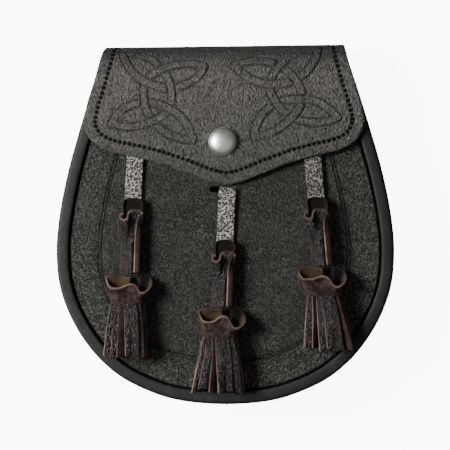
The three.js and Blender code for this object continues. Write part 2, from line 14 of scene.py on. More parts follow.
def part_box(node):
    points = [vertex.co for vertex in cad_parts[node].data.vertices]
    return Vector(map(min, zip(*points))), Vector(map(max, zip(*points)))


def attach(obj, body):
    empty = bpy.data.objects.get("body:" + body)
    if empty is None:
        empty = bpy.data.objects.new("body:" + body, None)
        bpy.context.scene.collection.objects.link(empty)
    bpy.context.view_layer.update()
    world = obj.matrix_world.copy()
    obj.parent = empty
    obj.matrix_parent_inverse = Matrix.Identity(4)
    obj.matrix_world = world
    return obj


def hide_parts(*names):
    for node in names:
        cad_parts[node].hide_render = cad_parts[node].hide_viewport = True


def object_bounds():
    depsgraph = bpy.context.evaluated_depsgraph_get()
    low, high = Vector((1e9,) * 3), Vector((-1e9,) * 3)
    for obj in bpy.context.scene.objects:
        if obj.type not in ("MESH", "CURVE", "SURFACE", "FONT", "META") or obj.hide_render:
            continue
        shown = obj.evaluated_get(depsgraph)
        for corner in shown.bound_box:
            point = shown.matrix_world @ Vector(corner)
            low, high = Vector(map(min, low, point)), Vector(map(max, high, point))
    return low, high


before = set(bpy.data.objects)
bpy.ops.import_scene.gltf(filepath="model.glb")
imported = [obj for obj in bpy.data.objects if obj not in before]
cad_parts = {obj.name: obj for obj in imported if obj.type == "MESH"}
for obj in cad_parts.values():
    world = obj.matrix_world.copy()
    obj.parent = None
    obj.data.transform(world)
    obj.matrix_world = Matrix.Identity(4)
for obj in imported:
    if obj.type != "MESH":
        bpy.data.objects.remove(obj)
cad_box = [list(corner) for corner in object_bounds()]

MM = 0.001


def node_box(name):
    """A node's lowest and highest corners in millimetres."""
    low_corner, high_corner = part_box(name)
    return np.array(low_corner) / MM, np.array(high_corner) / MM


# The pouch, from the frame
HALF_WIDTH = cad_box[1][0] / MM
BOTTOM = cad_box[0][1] / MM
ROLL_TOP = cad_box[1][1] / MM
BODY_TOP = node_box("back_panel")[1][1]
PANEL_BACK = node_box("back_panel")[0][2]
BINDING_BACK = node_box("back_binding")[0][2]

# The body
DEPTH_TOP = 23
DEPTH_BOTTOM = 30
FRONT_BULGE = 4
BULGE_INSET = 11
PANEL_THICKNESS = 2.2
GUSSET_THICKNESS = 1.4
GUSSET_RECESS = 7.2
BINDING_THICKNESS = 1.2
BINDING_WIDTH = 6.5
CLEARANCE = 0.3
PANEL_EDGE = BINDING_THICKNESS + CLEARANCE
EDGE_STACK = PANEL_EDGE + PANEL_THICKNESS + CLEARANCE
BINDING_HEIGHT = EDGE_STACK + GUSSET_THICKNESS + CLEARANCE + BINDING_THICKNESS
CREASE_INSET = 23.4
CREASE_SPACING = 1.6
CREASE_DEPTH = 0.65
CREASE_WIDTH = 0.9
SEAM_OFFSET = 0.7  # from the front binding's inner edge to the middle of the seam, whose groove is painted near black as shade
SEAM_FLAT = 0.35  # half of the seam's flat bottom
SEAM_DEPTH = 0.9

# The flap
FLAP_THICKNESS = 2
FLAP_DROP = 76.6
FLAP_WIDTH = 153
FLAP_ROLL_RADIUS = 10.5
FLAP_BACK_RADIUS = 9
FLAP_LEG_LENGTH = 36
FLAP_LEG_INSET = 2
FLAP_TIP_OFFSET = 2.4
FLAP_STITCH_INSET = 6.4
FLAP_ROUND_WIDTH = 1.2  # how far in its edge is rounded
FLAP_ROUND_DEPTH = 0.75
CHANNEL_WIDTH = 1.7  # the pressed line that the stitches lie in
CHANNEL_DEPTH = 0.3
HOLE_RADIUS = 1.25
HOLE_DEPTH = 0.45
INSIDE_TRIANGLES = 16000  # left on the flap's hidden inner face

# The tassels
STRAP_WIDTH = 9.2
STRAP_THICKNESS = 1.8
STRAP_TAIL = 9
SLIT_WIDTH = 15.4
SLIT_HEIGHT = 3
SLIT_OFFSET = 2.4
ROLL_WIDTH = 13.6
ROLL_DEPTH = 6.6
ROLL_LENGTH = 33
ROLL_RISE = 3.2  # how far its top goes above that length
ROLL_WAIST = 0.3  # share of its width that is lost further down
ROLL_BACK_WALL = 1
ROLL_CURL_WALL = 1.15
ROLL_CURL_DROP = 4  # from the top of the back layer down to the curl's
ROLL_CURL_TURN = -10  # degrees
HEAD_WIDTH = 25.4
HEAD_DEPTH = 10.6
HEAD_HEIGHT = 17
HEAD_LOW = 14.2  # from its top down to the fringe's
HEAD_OVERLAP = 2  # how far it goes over the fringe
HEAD_SLANT = 12.5
HEAD_WALL = 1
HEAD_FOOT = 0.74
HEAD_FOOT_DEPTH = 0.86
FRINGE_LENGTH = 31
FRINGE_BAND = 3
FRINGE_TRIM = 4.8  # the strips end this much higher than the head and the fringe's length add up to
BAND_WALL = 1.3
STRIP_COUNT = 13
FRONT_STRIPS = 6
STRIP_WALL = 1.25
FLAP_LIFT = CLEARANCE + STRAP_THICKNESS + CLEARANCE
HEAD_LIFT = BINDING_THICKNESS + 2 * CLEARANCE

# The stitches
FLAP_THREAD = dict(length=1.9, width=1.6, height=0.7)
BINDING_THREAD = dict(length=2.2, width=0.62, height=0.34)
KEEPER_THREAD = dict(length=2.1, width=0.7, height=0.4)
FLAP_STITCH_PITCH = 2.75
BINDING_STITCH_PITCH = 3.1
KEEPER_STITCH_PITCH = 3
SEAM_STITCH_DEPTH = 0.75  # the front binding's stitches lie this deep in the seam
BACK_STITCH_INSET = 1.7  # from the back binding's inner edge

# The snap
CAP_DIAMETER = 15
CAP_HEIGHT = 4.4
CAP_EDGE = 0.8
CAP_ROUND = 0.25
POST_DIAMETER = 4.4
POST_LENGTH = 3.4
STUD_DIAMETER = 11
STUD_FLOOR = 0.5

# The keeper
KEEPER_THICKNESS = 1.6
KEEPER_END = 8
KEEPER_RAMP = 3
KEEPER_STITCH_INSET = 3

# Half of the outline from the bottom to the top, as shares of the height and of half the width
OUTLINE = [
    (0, 0), (0.011, 0.275), (0.034, 0.439), (0.079, 0.627), (0.147, 0.785), (0.237, 0.91), (0.327, 0.98),
    (0.417, 1), (0.507, 0.988), (0.642, 0.934), (0.822, 0.825), (0.95, 0.738), (1, 0.702),
]

# The flap's lower edge (share of half its width, share of its drop) and its sides (the other way round)
FLAP_EDGE = [
    (0, 0.99), (0.08, 0.977), (0.2, 0.935), (0.32, 0.888), (0.45, 0.842), (0.58, 0.805), (0.7, 0.777),
    (0.8, 0.755), (0.88, 0.722), (0.95, 0.668), (0.987, 0.6), (1, 0.53),
]
FLAP_SIDE = [(0, 0.858), (0.11, 0.884), (0.25, 0.922), (0.39, 0.968), (0.53, 1), (1, 1)]

# Tassels: slit and head places as shares of half the width and of the height
# Each tassel's tone value darkens its strap; the right strap's extra darkness is painted shade, as the
# light falls from the left
TASSELS = {
    "left": dict(slit=(-0.52, 0.71), head=(-0.553, 0.368), roll=1.12, spread=22, shade_and_tone=-0.42, seed=3),
    "centre": dict(slit=(0.026, 0.597), head=(-0.008, 0.275), roll=0.985, spread=27, shade_and_tone=-0.36, seed=5),
    "right": dict(slit=(0.522, 0.707), head=(0.578, 0.389), roll=1, spread=25, shade_and_tone=-0.62, seed=8),
}

# Sections of the curled leather, at its top and at its foot: across the width, and out from the pouch
ROLL_BACK = [(-0.38, 0.34), (-0.34, 0.14), (-0.2, 0.08), (0, 0.07), (0.2, 0.08), (0.38, 0.14), (0.45, 0.34)]
ROLL_BACK_FOOT = [
    (-0.38, 0.34), (-0.34, 0.14), (-0.2, 0.08), (0.1, 0.08), (0.38, 0.2), (0.54, 0.52), (0.3, 0.86),
]
ROLL_CURL = [
    (-0.33, 0.5), (-0.43, 0.56), (-0.47, 0.72), (-0.4, 0.88), (-0.28, 0.92), (-0.17, 0.8), (-0.15, 0.58),
    (-0.1, 0.38), (0.04, 0.26), (0.2, 0.26), (0.34, 0.36), (0.44, 0.56),
]
ROLL_FOOT = [
    (-0.3, 0.3), (-0.42, 0.38), (-0.49, 0.52), (-0.47, 0.68), (-0.39, 0.82), (-0.28, 0.9), (-0.16, 0.93),
    (-0.05, 0.92), (0.05, 0.87), (0.13, 0.79), (0.19, 0.68), (0.23, 0.56),
]
HEAD_TOP = [
    (0.02, 0.14), (-0.26, 0.08), (-0.48, 0.2), (-0.39, 0.6), (-0.2, 0.62), (0.0, 0.44), (0.13, 0.5),
    (0.27, 0.86), (0.4, 0.82), (0.49, 0.56), (0.43, 0.26), (0.25, 0.1),
]
HEAD_BASE = [
    (0.02, 0.12), (-0.28, 0.1), (-0.47, 0.3), (-0.43, 0.66), (-0.27, 0.84), (-0.04, 0.88), (0.13, 0.92),
    (0.27, 0.88), (0.4, 0.72), (0.48, 0.46), (0.42, 0.22), (0.25, 0.1),
]


def smooth_line(points, count, closed=False):
    """Equally spaced points on a smooth line through the given ones."""
    points = np.array(points, float)
    if closed:
        guides = np.vstack([points[-1], points, points[0], points[1]])
    else:
        guides = np.vstack([2 * points[0] - points[1], points, 2 * points[-1] - points[-2]])
    share = np.linspace(0, 1, 40, endpoint=False)[:, None]
    spans = []
    for before, start, end, after in zip(guides, guides[1:], guides[2:], guides[3:]):
        first, middle, last = (
            math.sqrt(np.linalg.norm(b - a)) for a, b in ((before, start), (start, end), (end, after))
        )
        leaving = (start - before) / first - (end - before) / (first + middle) + (end - start) / middle
        arriving = (end - start) / middle - (after - start) / (middle + last) + (after - end) / last
        leaving, arriving = leaving * middle, arriving * middle
        spans.append(
            start
            + leaving * share
            + (3 * (end - start) - 2 * leaving - arriving) * share**2
            + (2 * (start - end) + leaving + arriving) * share**3
        )
    return even_line(np.vstack([*spans, points[0] if closed else points[-1]]), count)


def line_lengths(line):
    steps = np.linalg.norm(np.diff(line, axis=0), axis=1)
    return np.concatenate([[0], np.cumsum(steps)])


def even_line(line, count):
    """The same line with its points at equal spacing."""
    along = line_lengths(line)
    at = np.linspace(0, along[-1], count)
    return np.stack([np.interp(at, along, line[:, axis]) for axis in range(line.shape[1])], axis=1)


right_side = [(half * HALF_WIDTH, BOTTOM + up * (ROLL_TOP - BOTTOM)) for up, half in OUTLINE]
left_side = [(-x, y) for x, y in reversed(right_side[1:])]
outline = smooth_line([*left_side, *right_side], 1601)
outline_side = outline[outline[:, 0] >= 0]


def half_width_at(y):
    return np.interp(y, outline_side[:, 1], outline_side[:, 0])


def front_face(y):
    """Height of the front binding's outer face: the front leans in towards the top."""
    share = (y - BOTTOM) / (BODY_TOP - BOTTOM)
    return BINDING_BACK + DEPTH_BOTTOM + (DEPTH_TOP - DEPTH_BOTTOM) * share


def panel_front(x, y):
    """Height of the front panel's outer face, which swells towards the middle."""
    half = np.maximum(half_width_at(y) - BULGE_INSET, 1)
    middle = (BODY_TOP + BOTTOM) / 2
    reach = (BODY_TOP - BOTTOM) / 2 - BULGE_INSET
    across = np.maximum(1 - (x / half) ** 2, 0)
    along = np.maximum(1 - ((y - middle) / reach) ** 2, 0)
    return front_face(y) - BINDING_THICKNESS - CLEARANCE + FRONT_BULGE * across * along


def lay_on_front(points):
    """Takes heights over the front panel and sets them on its curved face."""
    laid = np.array(points, float)
    laid[:, 2] += panel_front(laid[:, 0], laid[:, 1])
    return laid


def ripple(x, y, scale, seed):
    """Slow, uneven waves of height about 1, as in leather that was bent and handled."""
    draw = random.Random(seed)
    total = 0
    for _ in range(5):
        turn, phase = draw.uniform(0, math.pi), draw.uniform(0, 2 * math.pi)
        reach = scale * draw.uniform(0.7, 1.6)
        total = total + np.sin((x * math.cos(turn) + y * math.sin(turn)) / reach + phase)
    return total / 5


def groove(distance, width):
    """1 on a tooled line's middle, falling softly to 0 over its width."""
    return np.exp(-((distance / (0.5 * width)) ** 2))


def step_between(value, low, high):
    """Goes smoothly from 0 to 1 between two values."""
    share = min(max((value - low) / (high - low), 0), 1)
    return share * share * (3 - 2 * share)


# Materials


def shared_effect(name, inputs, outputs):
    """A node group with named inputs and outputs: (socket type, name) or (type, name, default)."""
    group = bpy.data.node_groups.new(name, "ShaderNodeTree")
    for kind, label, *default in inputs:
        socket = group.interface.new_socket(label, in_out="INPUT", socket_type=kind)
        if default:
            socket.default_value = default[0]
    for kind, label in outputs:
        group.interface.new_socket(label, in_out="OUTPUT", socket_type=kind)
    return group


class Wiring:
    """Adds nodes to a tree and links them. A value that is a socket is linked, any other is set."""

    def __init__(self, tree):
        self.tree = tree

    def feed(self, socket, value):
        if isinstance(value, bpy.types.NodeSocket):
            self.tree.links.new(value, socket)
        else:
            socket.default_value = value

    def node(self, kind, values=None, **settings):
        node = self.tree.nodes.new(kind)
        for name, value in settings.items():
            setattr(node, name, value)
        for key, value in (values or {}).items():
            self.feed(node.inputs[key], value)
        return node

    def math(self, operation, *values, clamp=False):
        node = self.node("ShaderNodeMath", operation=operation, use_clamp=clamp)
        for index, value in enumerate(values):
            self.feed(node.inputs[index], value)
        return node.outputs[0]

    def vector_math(self, operation, first, second):
        values = {0: first, "Scale" if operation == "SCALE" else 1: second}
        return self.node("ShaderNodeVectorMath", values, operation=operation).outputs[0]

    def noise(self, vector, scale, detail=3.0, roughness=0.55):
        values = {"Vector": vector, "Scale": scale, "Detail": detail, "Roughness": roughness}
        return self.node("ShaderNodeTexNoise", values).outputs["Fac"]

    def voronoi(self, vector, scale, feature="F1", randomness=1.0, dimensions="3D"):
        values = {"Vector": vector, "Scale": scale, "Randomness": randomness}
        node = self.node("ShaderNodeTexVoronoi", values, feature=feature, voronoi_dimensions=dimensions)
        return node.outputs["Distance"]

    def ramp(self, value, low, high, start=0.0, end=1.0):
        values = {"Value": value, "From Min": low, "From Max": high, "To Min": start, "To Max": end}
        return self.node("ShaderNodeMapRange", values, clamp=True).outputs["Result"]

    def mix(self, share, first, second, blend="MIX"):
        node = self.node("ShaderNodeMix", data_type="RGBA", blend_type=blend)
        colours = [socket for socket in node.inputs if socket.type == "RGBA"]
        self.feed(node.inputs["Factor"], share)
        self.feed(colours[0], first)
        self.feed(colours[1], second)
        return [socket for socket in node.outputs if socket.type == "RGBA"][0]

    def mark(self, name):
        return self.node("ShaderNodeAttribute", attribute_name=name).outputs["Fac"]

    def bump(self, height, distance, strength=1.0):
        values = {"Height": height, "Distance": distance, "Strength": strength}
        return self.node("ShaderNodeBump", values).outputs["Normal"]


def linear(red, green, blue):
    """A colour given as it looks on a screen, 0 to 255, as the shader wants it."""
    def one(value):
        value /= 255
        return value / 12.92 if value <= 0.04045 else ((value + 0.055) / 1.055) ** 2.4

    return (one(red), one(green), one(blue), 1.0)


def make_grain_effect():
    """Leather grain: low pebbles with pits between them, some open and dark, and slow patches of tone."""
    group = shared_effect(
        "leather_grain",
        [
            ("NodeSocketVector", "Vector"), ("NodeSocketFloat", "Pebbles", 900.0),
            ("NodeSocketFloat", "Stretch", 0.7), ("NodeSocketFloat", "Openness", 0.5),
        ],
        [
            ("NodeSocketFloat", "Height"), ("NodeSocketFloat", "Pits"), ("NodeSocketFloat", "Patches"),
        ],
    )
    w = Wiring(group)
    given = w.node("NodeGroupInput").outputs
    drift = w.node("ShaderNodeTexNoise", {"Vector": given["Vector"], "Scale": 420.0, "Detail": 2.0})
    shift = w.vector_math("SUBTRACT", drift.outputs["Color"], (0.5, 0.5, 0.5))
    moved = w.vector_math("ADD", given["Vector"], w.vector_math("SCALE", shift, 1.4 * MM))
    squeeze = w.node("ShaderNodeCombineXYZ", {"X": 1.0, "Y": given["Stretch"], "Z": 1.0}).outputs[0]
    laid = w.vector_math("MULTIPLY", moved, squeeze)
    centres = w.voronoi(laid, given["Pebbles"])
    edges = w.voronoi(laid, w.math("MULTIPLY", given["Pebbles"], 1.35), "DISTANCE_TO_EDGE")
    creases = w.ramp(edges, 0.0, 0.2)
    fine = w.ramp(w.noise(laid, w.math("MULTIPLY", given["Pebbles"], 1.15), 2.0, 0.7), 0.33, 0.67)
    uneven = w.noise(laid, w.math("MULTIPLY", given["Pebbles"], 0.6), 2.0)
    reach = w.math("MULTIPLY", w.ramp(uneven, 0.38, 0.66), given["Openness"])
    pits = w.ramp(w.math("SUBTRACT", centres, w.math("MULTIPLY", reach, 0.5)), 0.0, 0.26, 1.0, 0.0)
    height = w.math("ADD", w.math("MULTIPLY", creases, 0.3), w.math("MULTIPLY", fine, 0.7))
    height = w.math("SUBTRACT", height, w.math("MULTIPLY", pits, 0.55))
    put = w.node("NodeGroupOutput").inputs
    w.feed(put["Height"], height)
    w.feed(put["Pits"], pits)
    w.feed(put["Patches"], w.noise(given["Vector"], 60.0, 4.0, 0.6))
    return group


def make_scuff_effect():
    """Fine light scuffs and dust, as much as the amount says."""
    group = shared_effect(
        "leather_scuffs",
        [("NodeSocketVector", "Vector"), ("NodeSocketFloat", "Amount", 0.3)],
        [("NodeSocketFloat", "Mask")],
    )
    w = Wiring(group)
    given = w.node("NodeGroupInput").outputs
    broad = w.ramp(w.noise(given["Vector"], 90.0, 5.0, 0.7), 0.48, 0.72)
    fine = w.ramp(w.noise(given["Vector"], 1700.0, 3.0, 0.7), 0.45, 0.7)
    mask = w.math("MULTIPLY", w.math("MULTIPLY", broad, fine), given["Amount"], clamp=True)
    w.feed(w.node("NodeGroupOutput").inputs["Mask"], mask)
    return group


grain_effect = make_grain_effect()
scuff_effect = make_scuff_effect()


def new_material(name):
    material = bpy.data.materials.new(name)
    material.use_nodes = True
    w = Wiring(material.node_tree)
    shader = material.node_tree.nodes["Principled BSDF"]
    place = w.node("ShaderNodeTexCoord").outputs["Object"]
    return material, w, shader, place


def grain_of(w, place, pebbles, stretch, openness):
    values = {"Vector": place, "Pebbles": pebbles, "Stretch": stretch, "Openness": openness}
    return w.node("ShaderNodeGroup", values, node_tree=grain_effect).outputs


def scuffs_of(w, place, amount):
    values = {"Vector": place, "Amount": amount}
    return w.node("ShaderNodeGroup", values, node_tree=scuff_effect).outputs["Mask"]


def shaded(w, tint, value):
    """A tint made lighter or darker by a value round 1."""
    grey = w.node("ShaderNodeCombineColor", {0: value, 1: value, 2: value}).outputs[0]
    return w.mix(1.0, tint, grey, "MULTIPLY")


def pebbled_leather(
    name, dark, light, grain, relief, roughness, scuff=0.3,
    roll_shade=None, tooled=None, raised=(0.3, 0.78), shine=0.5,
):
    """Grained leather, lighter on its raised parts, which is partly the grain's own colour and partly
    painted highlights on the pebbles. The grain is pebbles a metre, stretch and openness.
    """
    material, w, shader, place = new_material(name)
    grain = grain_of(w, place, *grain)
    lift = w.ramp(grain["Height"], *raised)
    tint = w.mix(lift, dark, light)
    tint = w.mix(w.math("MULTIPLY", grain["Pits"], 0.7), tint, linear(9, 8, 8))
    # This mark holds painted shade and light set on each piece, besides random tone
    tint = shaded(w, tint, w.math("ADD", w.ramp(grain["Patches"], 0.3, 0.7, 0.84, 1.16), w.mark("shade_and_tone")))
    tint = w.mix(scuffs_of(w, place, scuff), tint, linear(120, 116, 108))
    # Darkens the leather over the flap's roll: painted shade
    if roll_shade:
        tint = w.mix(w.math("MULTIPLY", w.mark("roll_shade"), 0.9), tint, roll_shade)
    tint = w.mix(w.math("MULTIPLY", w.mark("tooling"), 0.9), tint, tooled or linear(6, 5, 5))
    # Paints the front seam's groove and the flap's stitch holes near black: painted shade
    tint = w.mix(w.math("MULTIPLY", w.mark("seam"), 0.97), tint, linear(4, 4, 4))
    w.feed(shader.inputs["Base Color"], tint)
    rough = w.ramp(grain["Height"], 0.15, 0.75, roughness + 0.22, roughness)
    w.feed(shader.inputs["Roughness"], w.math("ADD", rough, w.math("MULTIPLY", w.mark("seam"), 0.3)))
    w.feed(shader.inputs["Specular IOR Level"], w.ramp(w.mark("seam"), 0.0, 0.8, shine, 0.03))
    w.feed(shader.inputs["Normal"], w.bump(grain["Height"], relief * MM))
    return material


def smooth_leather(name, colour, roughness):
    """Plain dressed leather: very fine grain, slow changes of tone, light scuffs."""
    material, w, shader, place = new_material(name)
    grain = grain_of(w, place, 1900.0, 1.0, 0.2)
    tint = shaded(w, colour, w.ramp(w.noise(place, 70.0, 5.0, 0.65), 0.3, 0.7, 0.7, 1.3))
    tint = w.mix(scuffs_of(w, place, 0.3), tint, linear(100, 97, 92))
    w.feed(shader.inputs["Base Color"], tint)
    shader.inputs["Specular IOR Level"].default_value = 0.3
    w.feed(shader.inputs["Roughness"], w.ramp(grain["Height"], 0.15, 0.75, roughness + 0.15, roughness))
    w.feed(shader.inputs["Normal"], w.bump(grain["Height"], 0.1 * MM, 0.8))
    return material


def suede(name, colour, light, crumple_and_shade=0.0):
    """The flesh side: fibrous and matt, and more or less crumpled, with painted shade in the crumples'
    hollows.
    """
    material, w, shader, place = new_material(name)
    fibre = w.noise(place, 1500.0, 5.0, 0.75)
    cloud = w.noise(place, 160.0, 4.0, 0.6)
    tint = w.mix(w.ramp(w.math("MULTIPLY", fibre, cloud), 0.12, 0.42), colour, light)
    folds = w.noise(place, 400.0, 4.0, 0.7)
    # Darker in the hollows of the crumples: painted shade
    tint = w.mix(w.ramp(folds, 0.4, 0.58, crumple_and_shade, 0.0), tint, colour)
    # This mark is painted shade on the rolls and heads, and random tone on the fringe's strips
    tint = shaded(w, tint, w.math("ADD", w.mark("shade_and_tone"), 1.0))
    w.feed(shader.inputs["Base Color"], tint)
    shader.inputs["Roughness"].default_value = 0.9
    shader.inputs["Sheen Weight"].default_value = 0.04
    shader.inputs["Specular IOR Level"].default_value = 0.12
    relief = w.math("ADD", w.math("MULTIPLY", fibre, 0.12), w.math("MULTIPLY", folds, 1.6 * crumple_and_shade))
    w.feed(shader.inputs["Normal"], w.bump(relief, MM, 0.8))
    return material


def sewing_thread():
    material, w, shader, place = new_material("black_thread")
    turns = w.noise(place, 2600.0, 2.0)
    w.feed(shader.inputs["Base Color"], w.mix(turns, linear(3, 3, 3), linear(12, 12, 11)))
    shader.inputs["Roughness"].default_value = 0.75
    shader.inputs["Specular IOR Level"].default_value = 0.08
    w.feed(shader.inputs["Normal"], w.bump(turns, 0.1 * MM, 0.8))
    return material


def nickel():
    material, w, shader, place = new_material("satin_nickel_finish")
    brushing = w.noise(place, 1800.0, 3.0, 0.7)
    cloud = w.noise(place, 240.0, 4.0, 0.6)
    w.feed(shader.inputs["Base Color"], w.mix(cloud, linear(214, 213, 208), linear(236, 235, 231)))
    shader.inputs["Metallic"].default_value = 1.0
    w.feed(shader.inputs["Roughness"], w.ramp(cloud, 0.3, 0.7, 0.32, 0.42))
    w.feed(shader.inputs["Normal"], w.bump(brushing, 0.012 * MM, 0.5))
    return material


def plain_steel():
    material, w, shader, place = new_material("plain_steel_finish")
    cloud = w.noise(place, 900.0, 3.0, 0.6)
    w.feed(shader.inputs["Base Color"], w.mix(cloud, linear(120, 120, 118), linear(165, 165, 162)))
    shader.inputs["Metallic"].default_value = 1.0
    w.feed(shader.inputs["Roughness"], w.ramp(cloud, 0.3, 0.7, 0.3, 0.5))
    return material


def speckled_strap():
    """The straps' leather: polished grain with dark round pits, and light cloudy patches that are painted
    highlights.
    """
    material, w, shader, place = new_material("strap_grain_painted_highlights")
    pits = w.voronoi(place, 680.0, randomness=0.85, dimensions="2D")
    size = w.math("MULTIPLY", w.ramp(w.noise(place, 500.0, 2.0), 0.36, 0.64), 0.1)
    face = w.ramp(w.math("SUBTRACT", pits, size), 0.2, 0.34)
    # The light end of this cloud stands for highlights on the polished grain: painted highlights
    cloud = w.ramp(w.noise(place, 460.0, 4.0, 0.7), 0.36, 0.66)
    tint = w.mix(face, linear(9, 8, 8), w.mix(cloud, linear(66, 62, 58), linear(206, 198, 187)))
    # Painted shade from the strap's mark, darkest on the right strap
    tint = shaded(w, tint, w.math("ADD", w.mark("shade_and_tone"), 1.0))
    w.feed(shader.inputs["Base Color"], tint)
    w.feed(shader.inputs["Roughness"], w.ramp(face, 0.0, 1.0, 0.8, 0.3))
    w.feed(shader.inputs["Normal"], w.bump(w.math("ADD", face, cloud), 0.35 * MM))
    return material


# The flap is the same leather as the front; its lighter colours are painted sheen of the key light, and its
# dark roll colour is painted shade
flap_leather_painted_sheen = pebbled_leather(
    "flap_grain_painted_sheen", linear(42, 40, 36), linear(72, 69, 63), (760.0, 0.6, 0.5), 0.8, 0.42,
    roll_shade=linear(22, 18, 16),
)
front_leather = pebbled_leather(
    "front_grain", linear(1, 1, 1), linear(70, 72, 63), (800.0, 0.9, 0.5), 1.0, 0.34,
    tooled=linear(0, 0, 0), raised=(0.4, 0.76), shine=0.42,
)
back_leather = pebbled_leather(
    "back_grain", linear(3, 3, 3), linear(40, 40, 37), (740.0, 0.85, 0.5), 0.4, 0.5,
)
binding_leather = smooth_leather("binding_finish", linear(9, 9, 8), 0.48)
gusset_leather = smooth_leather("gusset_finish", linear(10, 10, 9), 0.5)
keeper_leather = smooth_leather("keeper_finish", linear(14, 13, 12), 0.5)
strap_finish_painted_highlights = speckled_strap()
flesh_side = suede("flesh_side", linear(20, 11, 9), linear(70, 52, 45))
# Paler than the head's outer suede: partly its own olive tan, partly painted light on the head's open
# inside
pale_flesh = suede("pale_flesh", linear(40, 30, 20), linear(104, 86, 62))
cut_edge = suede("raw_cut_edge", linear(84, 64, 57), linear(140, 116, 105))
head_edge = suede("head_cut_edge", linear(60, 44, 38), linear(124, 102, 92))
head_suede = suede("head_suede", linear(16, 8, 7), linear(84, 66, 60), 0.85)
strap_flesh = suede("strap_flesh", linear(62, 42, 38), linear(120, 92, 84))
flap_cut_edge = suede("flap_cut_edge", linear(12, 11, 10), linear(34, 30, 28))
inner_suede = suede("inner_suede", linear(20, 18, 16), linear(46, 42, 38))
tassel_grain = pebbled_leather(
    "tassel_grain", linear(1, 0.5, 0.5), linear(54, 43, 38), (880.0, 0.8, 0.8), 0.85, 0.22, 0.1,
    raised=(0.4, 0.75), shine=0.55,
)
thread = sewing_thread()
nickel_finish = nickel()
steel_finish = plain_steel()


# Making pieces

SHARP_ANGLE = 50  # degrees between two faces, past which their edge is a sharp one


def only(piece):
    """Makes one piece the selected and active one."""
    bpy.ops.object.select_all(action="DESELECT")
    piece.select_set(True)
    bpy.context.view_layer.objects.active = piece


def start_editing():
    """Opens the active piece in edit mode with all of it selected."""
    bpy.ops.object.mode_set(mode="EDIT")
    bpy.ops.mesh.select_all(action="SELECT")


def stop_editing():
    bpy.ops.object.mode_set(mode="OBJECT")


def read_points(piece):
    flat = np.empty(len(piece.data.vertices) * 3)
    piece.data.vertices.foreach_get("co", flat)
    return flat.reshape(-1, 3) / MM


def write_points(piece, points):
    piece.data.vertices.foreach_set("co", (np.asarray(points) * MM).ravel())
    piece.data.update()


def finish_with(piece, kind, **settings):
    """Adds a modifier to a piece and applies it."""
    modifier = piece.modifiers.new(kind.title(), kind)
    for name, value in settings.items():
        setattr(modifier, name, value)
    only(piece)
    bpy.ops.object.modifier_apply(modifier=modifier.name)


def leather_sheet(name, columns, rows, place, *materials):
    """A flat grid whose points are moved to place(column, row), both counted from 0."""
    bpy.ops.object.select_all(action="DESELECT")
    bpy.ops.mesh.primitive_grid_add(x_subdivisions=columns, y_subdivisions=rows, size=1)
    piece = bpy.context.object
    piece.name = name
    flat = read_points(piece) * MM
    column = np.rint((flat[:, 0] + 0.5) * columns).astype(int)
    row = np.rint((flat[:, 1] + 0.5) * rows).astype(int)
    write_points(piece, place(column, row))
    for material in materials:
        piece.data.materials.append(material)
    return piece


def merge_close(piece):
    """Merges a sheet's points where a whole row meets in one place."""
    only(piece)
    start_editing()
    bpy.ops.mesh.remove_doubles(threshold=0.001 * MM)
    stop_editing()


def thicken(piece, thickness, offset=0, cut_edges=False):
    """Gives a sheet its thickness. Cut edges take the second material and the other side the third."""
    settings = dict(thickness=thickness * MM, offset=offset, use_even_offset=True)
    if cut_edges:
        settings.update(material_offset_rim=1, material_offset=2)
    finish_with(piece, "SOLIDIFY", **settings)


def soften_edges(piece, width):
    """Rounds a piece's sharp edges."""
    finish_with(
        piece, "BEVEL", width=width * MM, segments=2, limit_method="ANGLE",
        angle_limit=math.radians(SHARP_ANGLE), use_clamp_overlap=True,
    )


def smooth_shaded(piece, angle=SHARP_ANGLE):
    only(piece)
    bpy.ops.object.shade_smooth_by_angle(angle=math.radians(angle))


def mark(piece, name, values):
    """Stores a value for each point, which a material reads."""
    layer = piece.data.attributes.new(name, "FLOAT", "POINT")
    layer.data.foreach_set("value", np.asarray(values, np.float32))


def joined(pieces, name):
    bpy.ops.object.select_all(action="DESELECT")
    for piece in pieces:
        piece.select_set(True)
    bpy.context.view_layer.objects.active = pieces[0]
    bpy.ops.object.join()
    pieces[0].name = name
    return pieces[0]


def placed(piece, slot, *nodes):
    """Gives a finished piece its body and hides the nodes that it stands for; the slot is not used."""
    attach(piece, "root")
    if nodes:
        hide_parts(*nodes)
    return piece


# The body


def rim_stations(count):
    """Points along the outline from the upper left round the bottom, with their inward normals."""
    top_half = half_width_at(BODY_TOP)
    below = outline[outline[:, 1] < BODY_TOP]
    line = even_line(np.vstack([[-top_half, BODY_TOP], below, [top_half, BODY_TOP]]), count)
    along = np.gradient(line, axis=0)
    along /= np.linalg.norm(along, axis=1)[:, None]
    return line, along, np.stack([-along[:, 1], along[:, 0]], axis=1)


RIM_COUNT = 301
rim, rim_along, rim_inward = rim_stations(RIM_COUNT)


def inside_rim(station, inset):
    """Points the given distance inside the rim. The two ends slide along to stay level with the top."""
    spot = rim[station] + rim_inward[station] * np.asarray(inset)[:, None]
    ends = (station == 0) | (station == RIM_COUNT - 1)
    slide = (BODY_TOP - spot[:, 1]) / rim_along[station, 1]
    return spot + rim_along[station] * np.where(ends, slide, 0)[:, None]


def front_rows():
    """Insets of the front panel's rows, close together where it is tooled or meets the binding."""
    crease_end = CREASE_INSET + CREASE_SPACING
    return np.concatenate([
        [PANEL_EDGE, 3.5, 5.6],
        np.arange(6.2, 9.2, 0.3),
        [9.8, 11.5, 13.5, 15.5, 17.5, 19.5, 21.2, 22.2],
        np.arange(CREASE_INSET - 0.8, crease_end + 0.9, 0.2),
        [crease_end + 1.8, crease_end + 3.5],
    ])


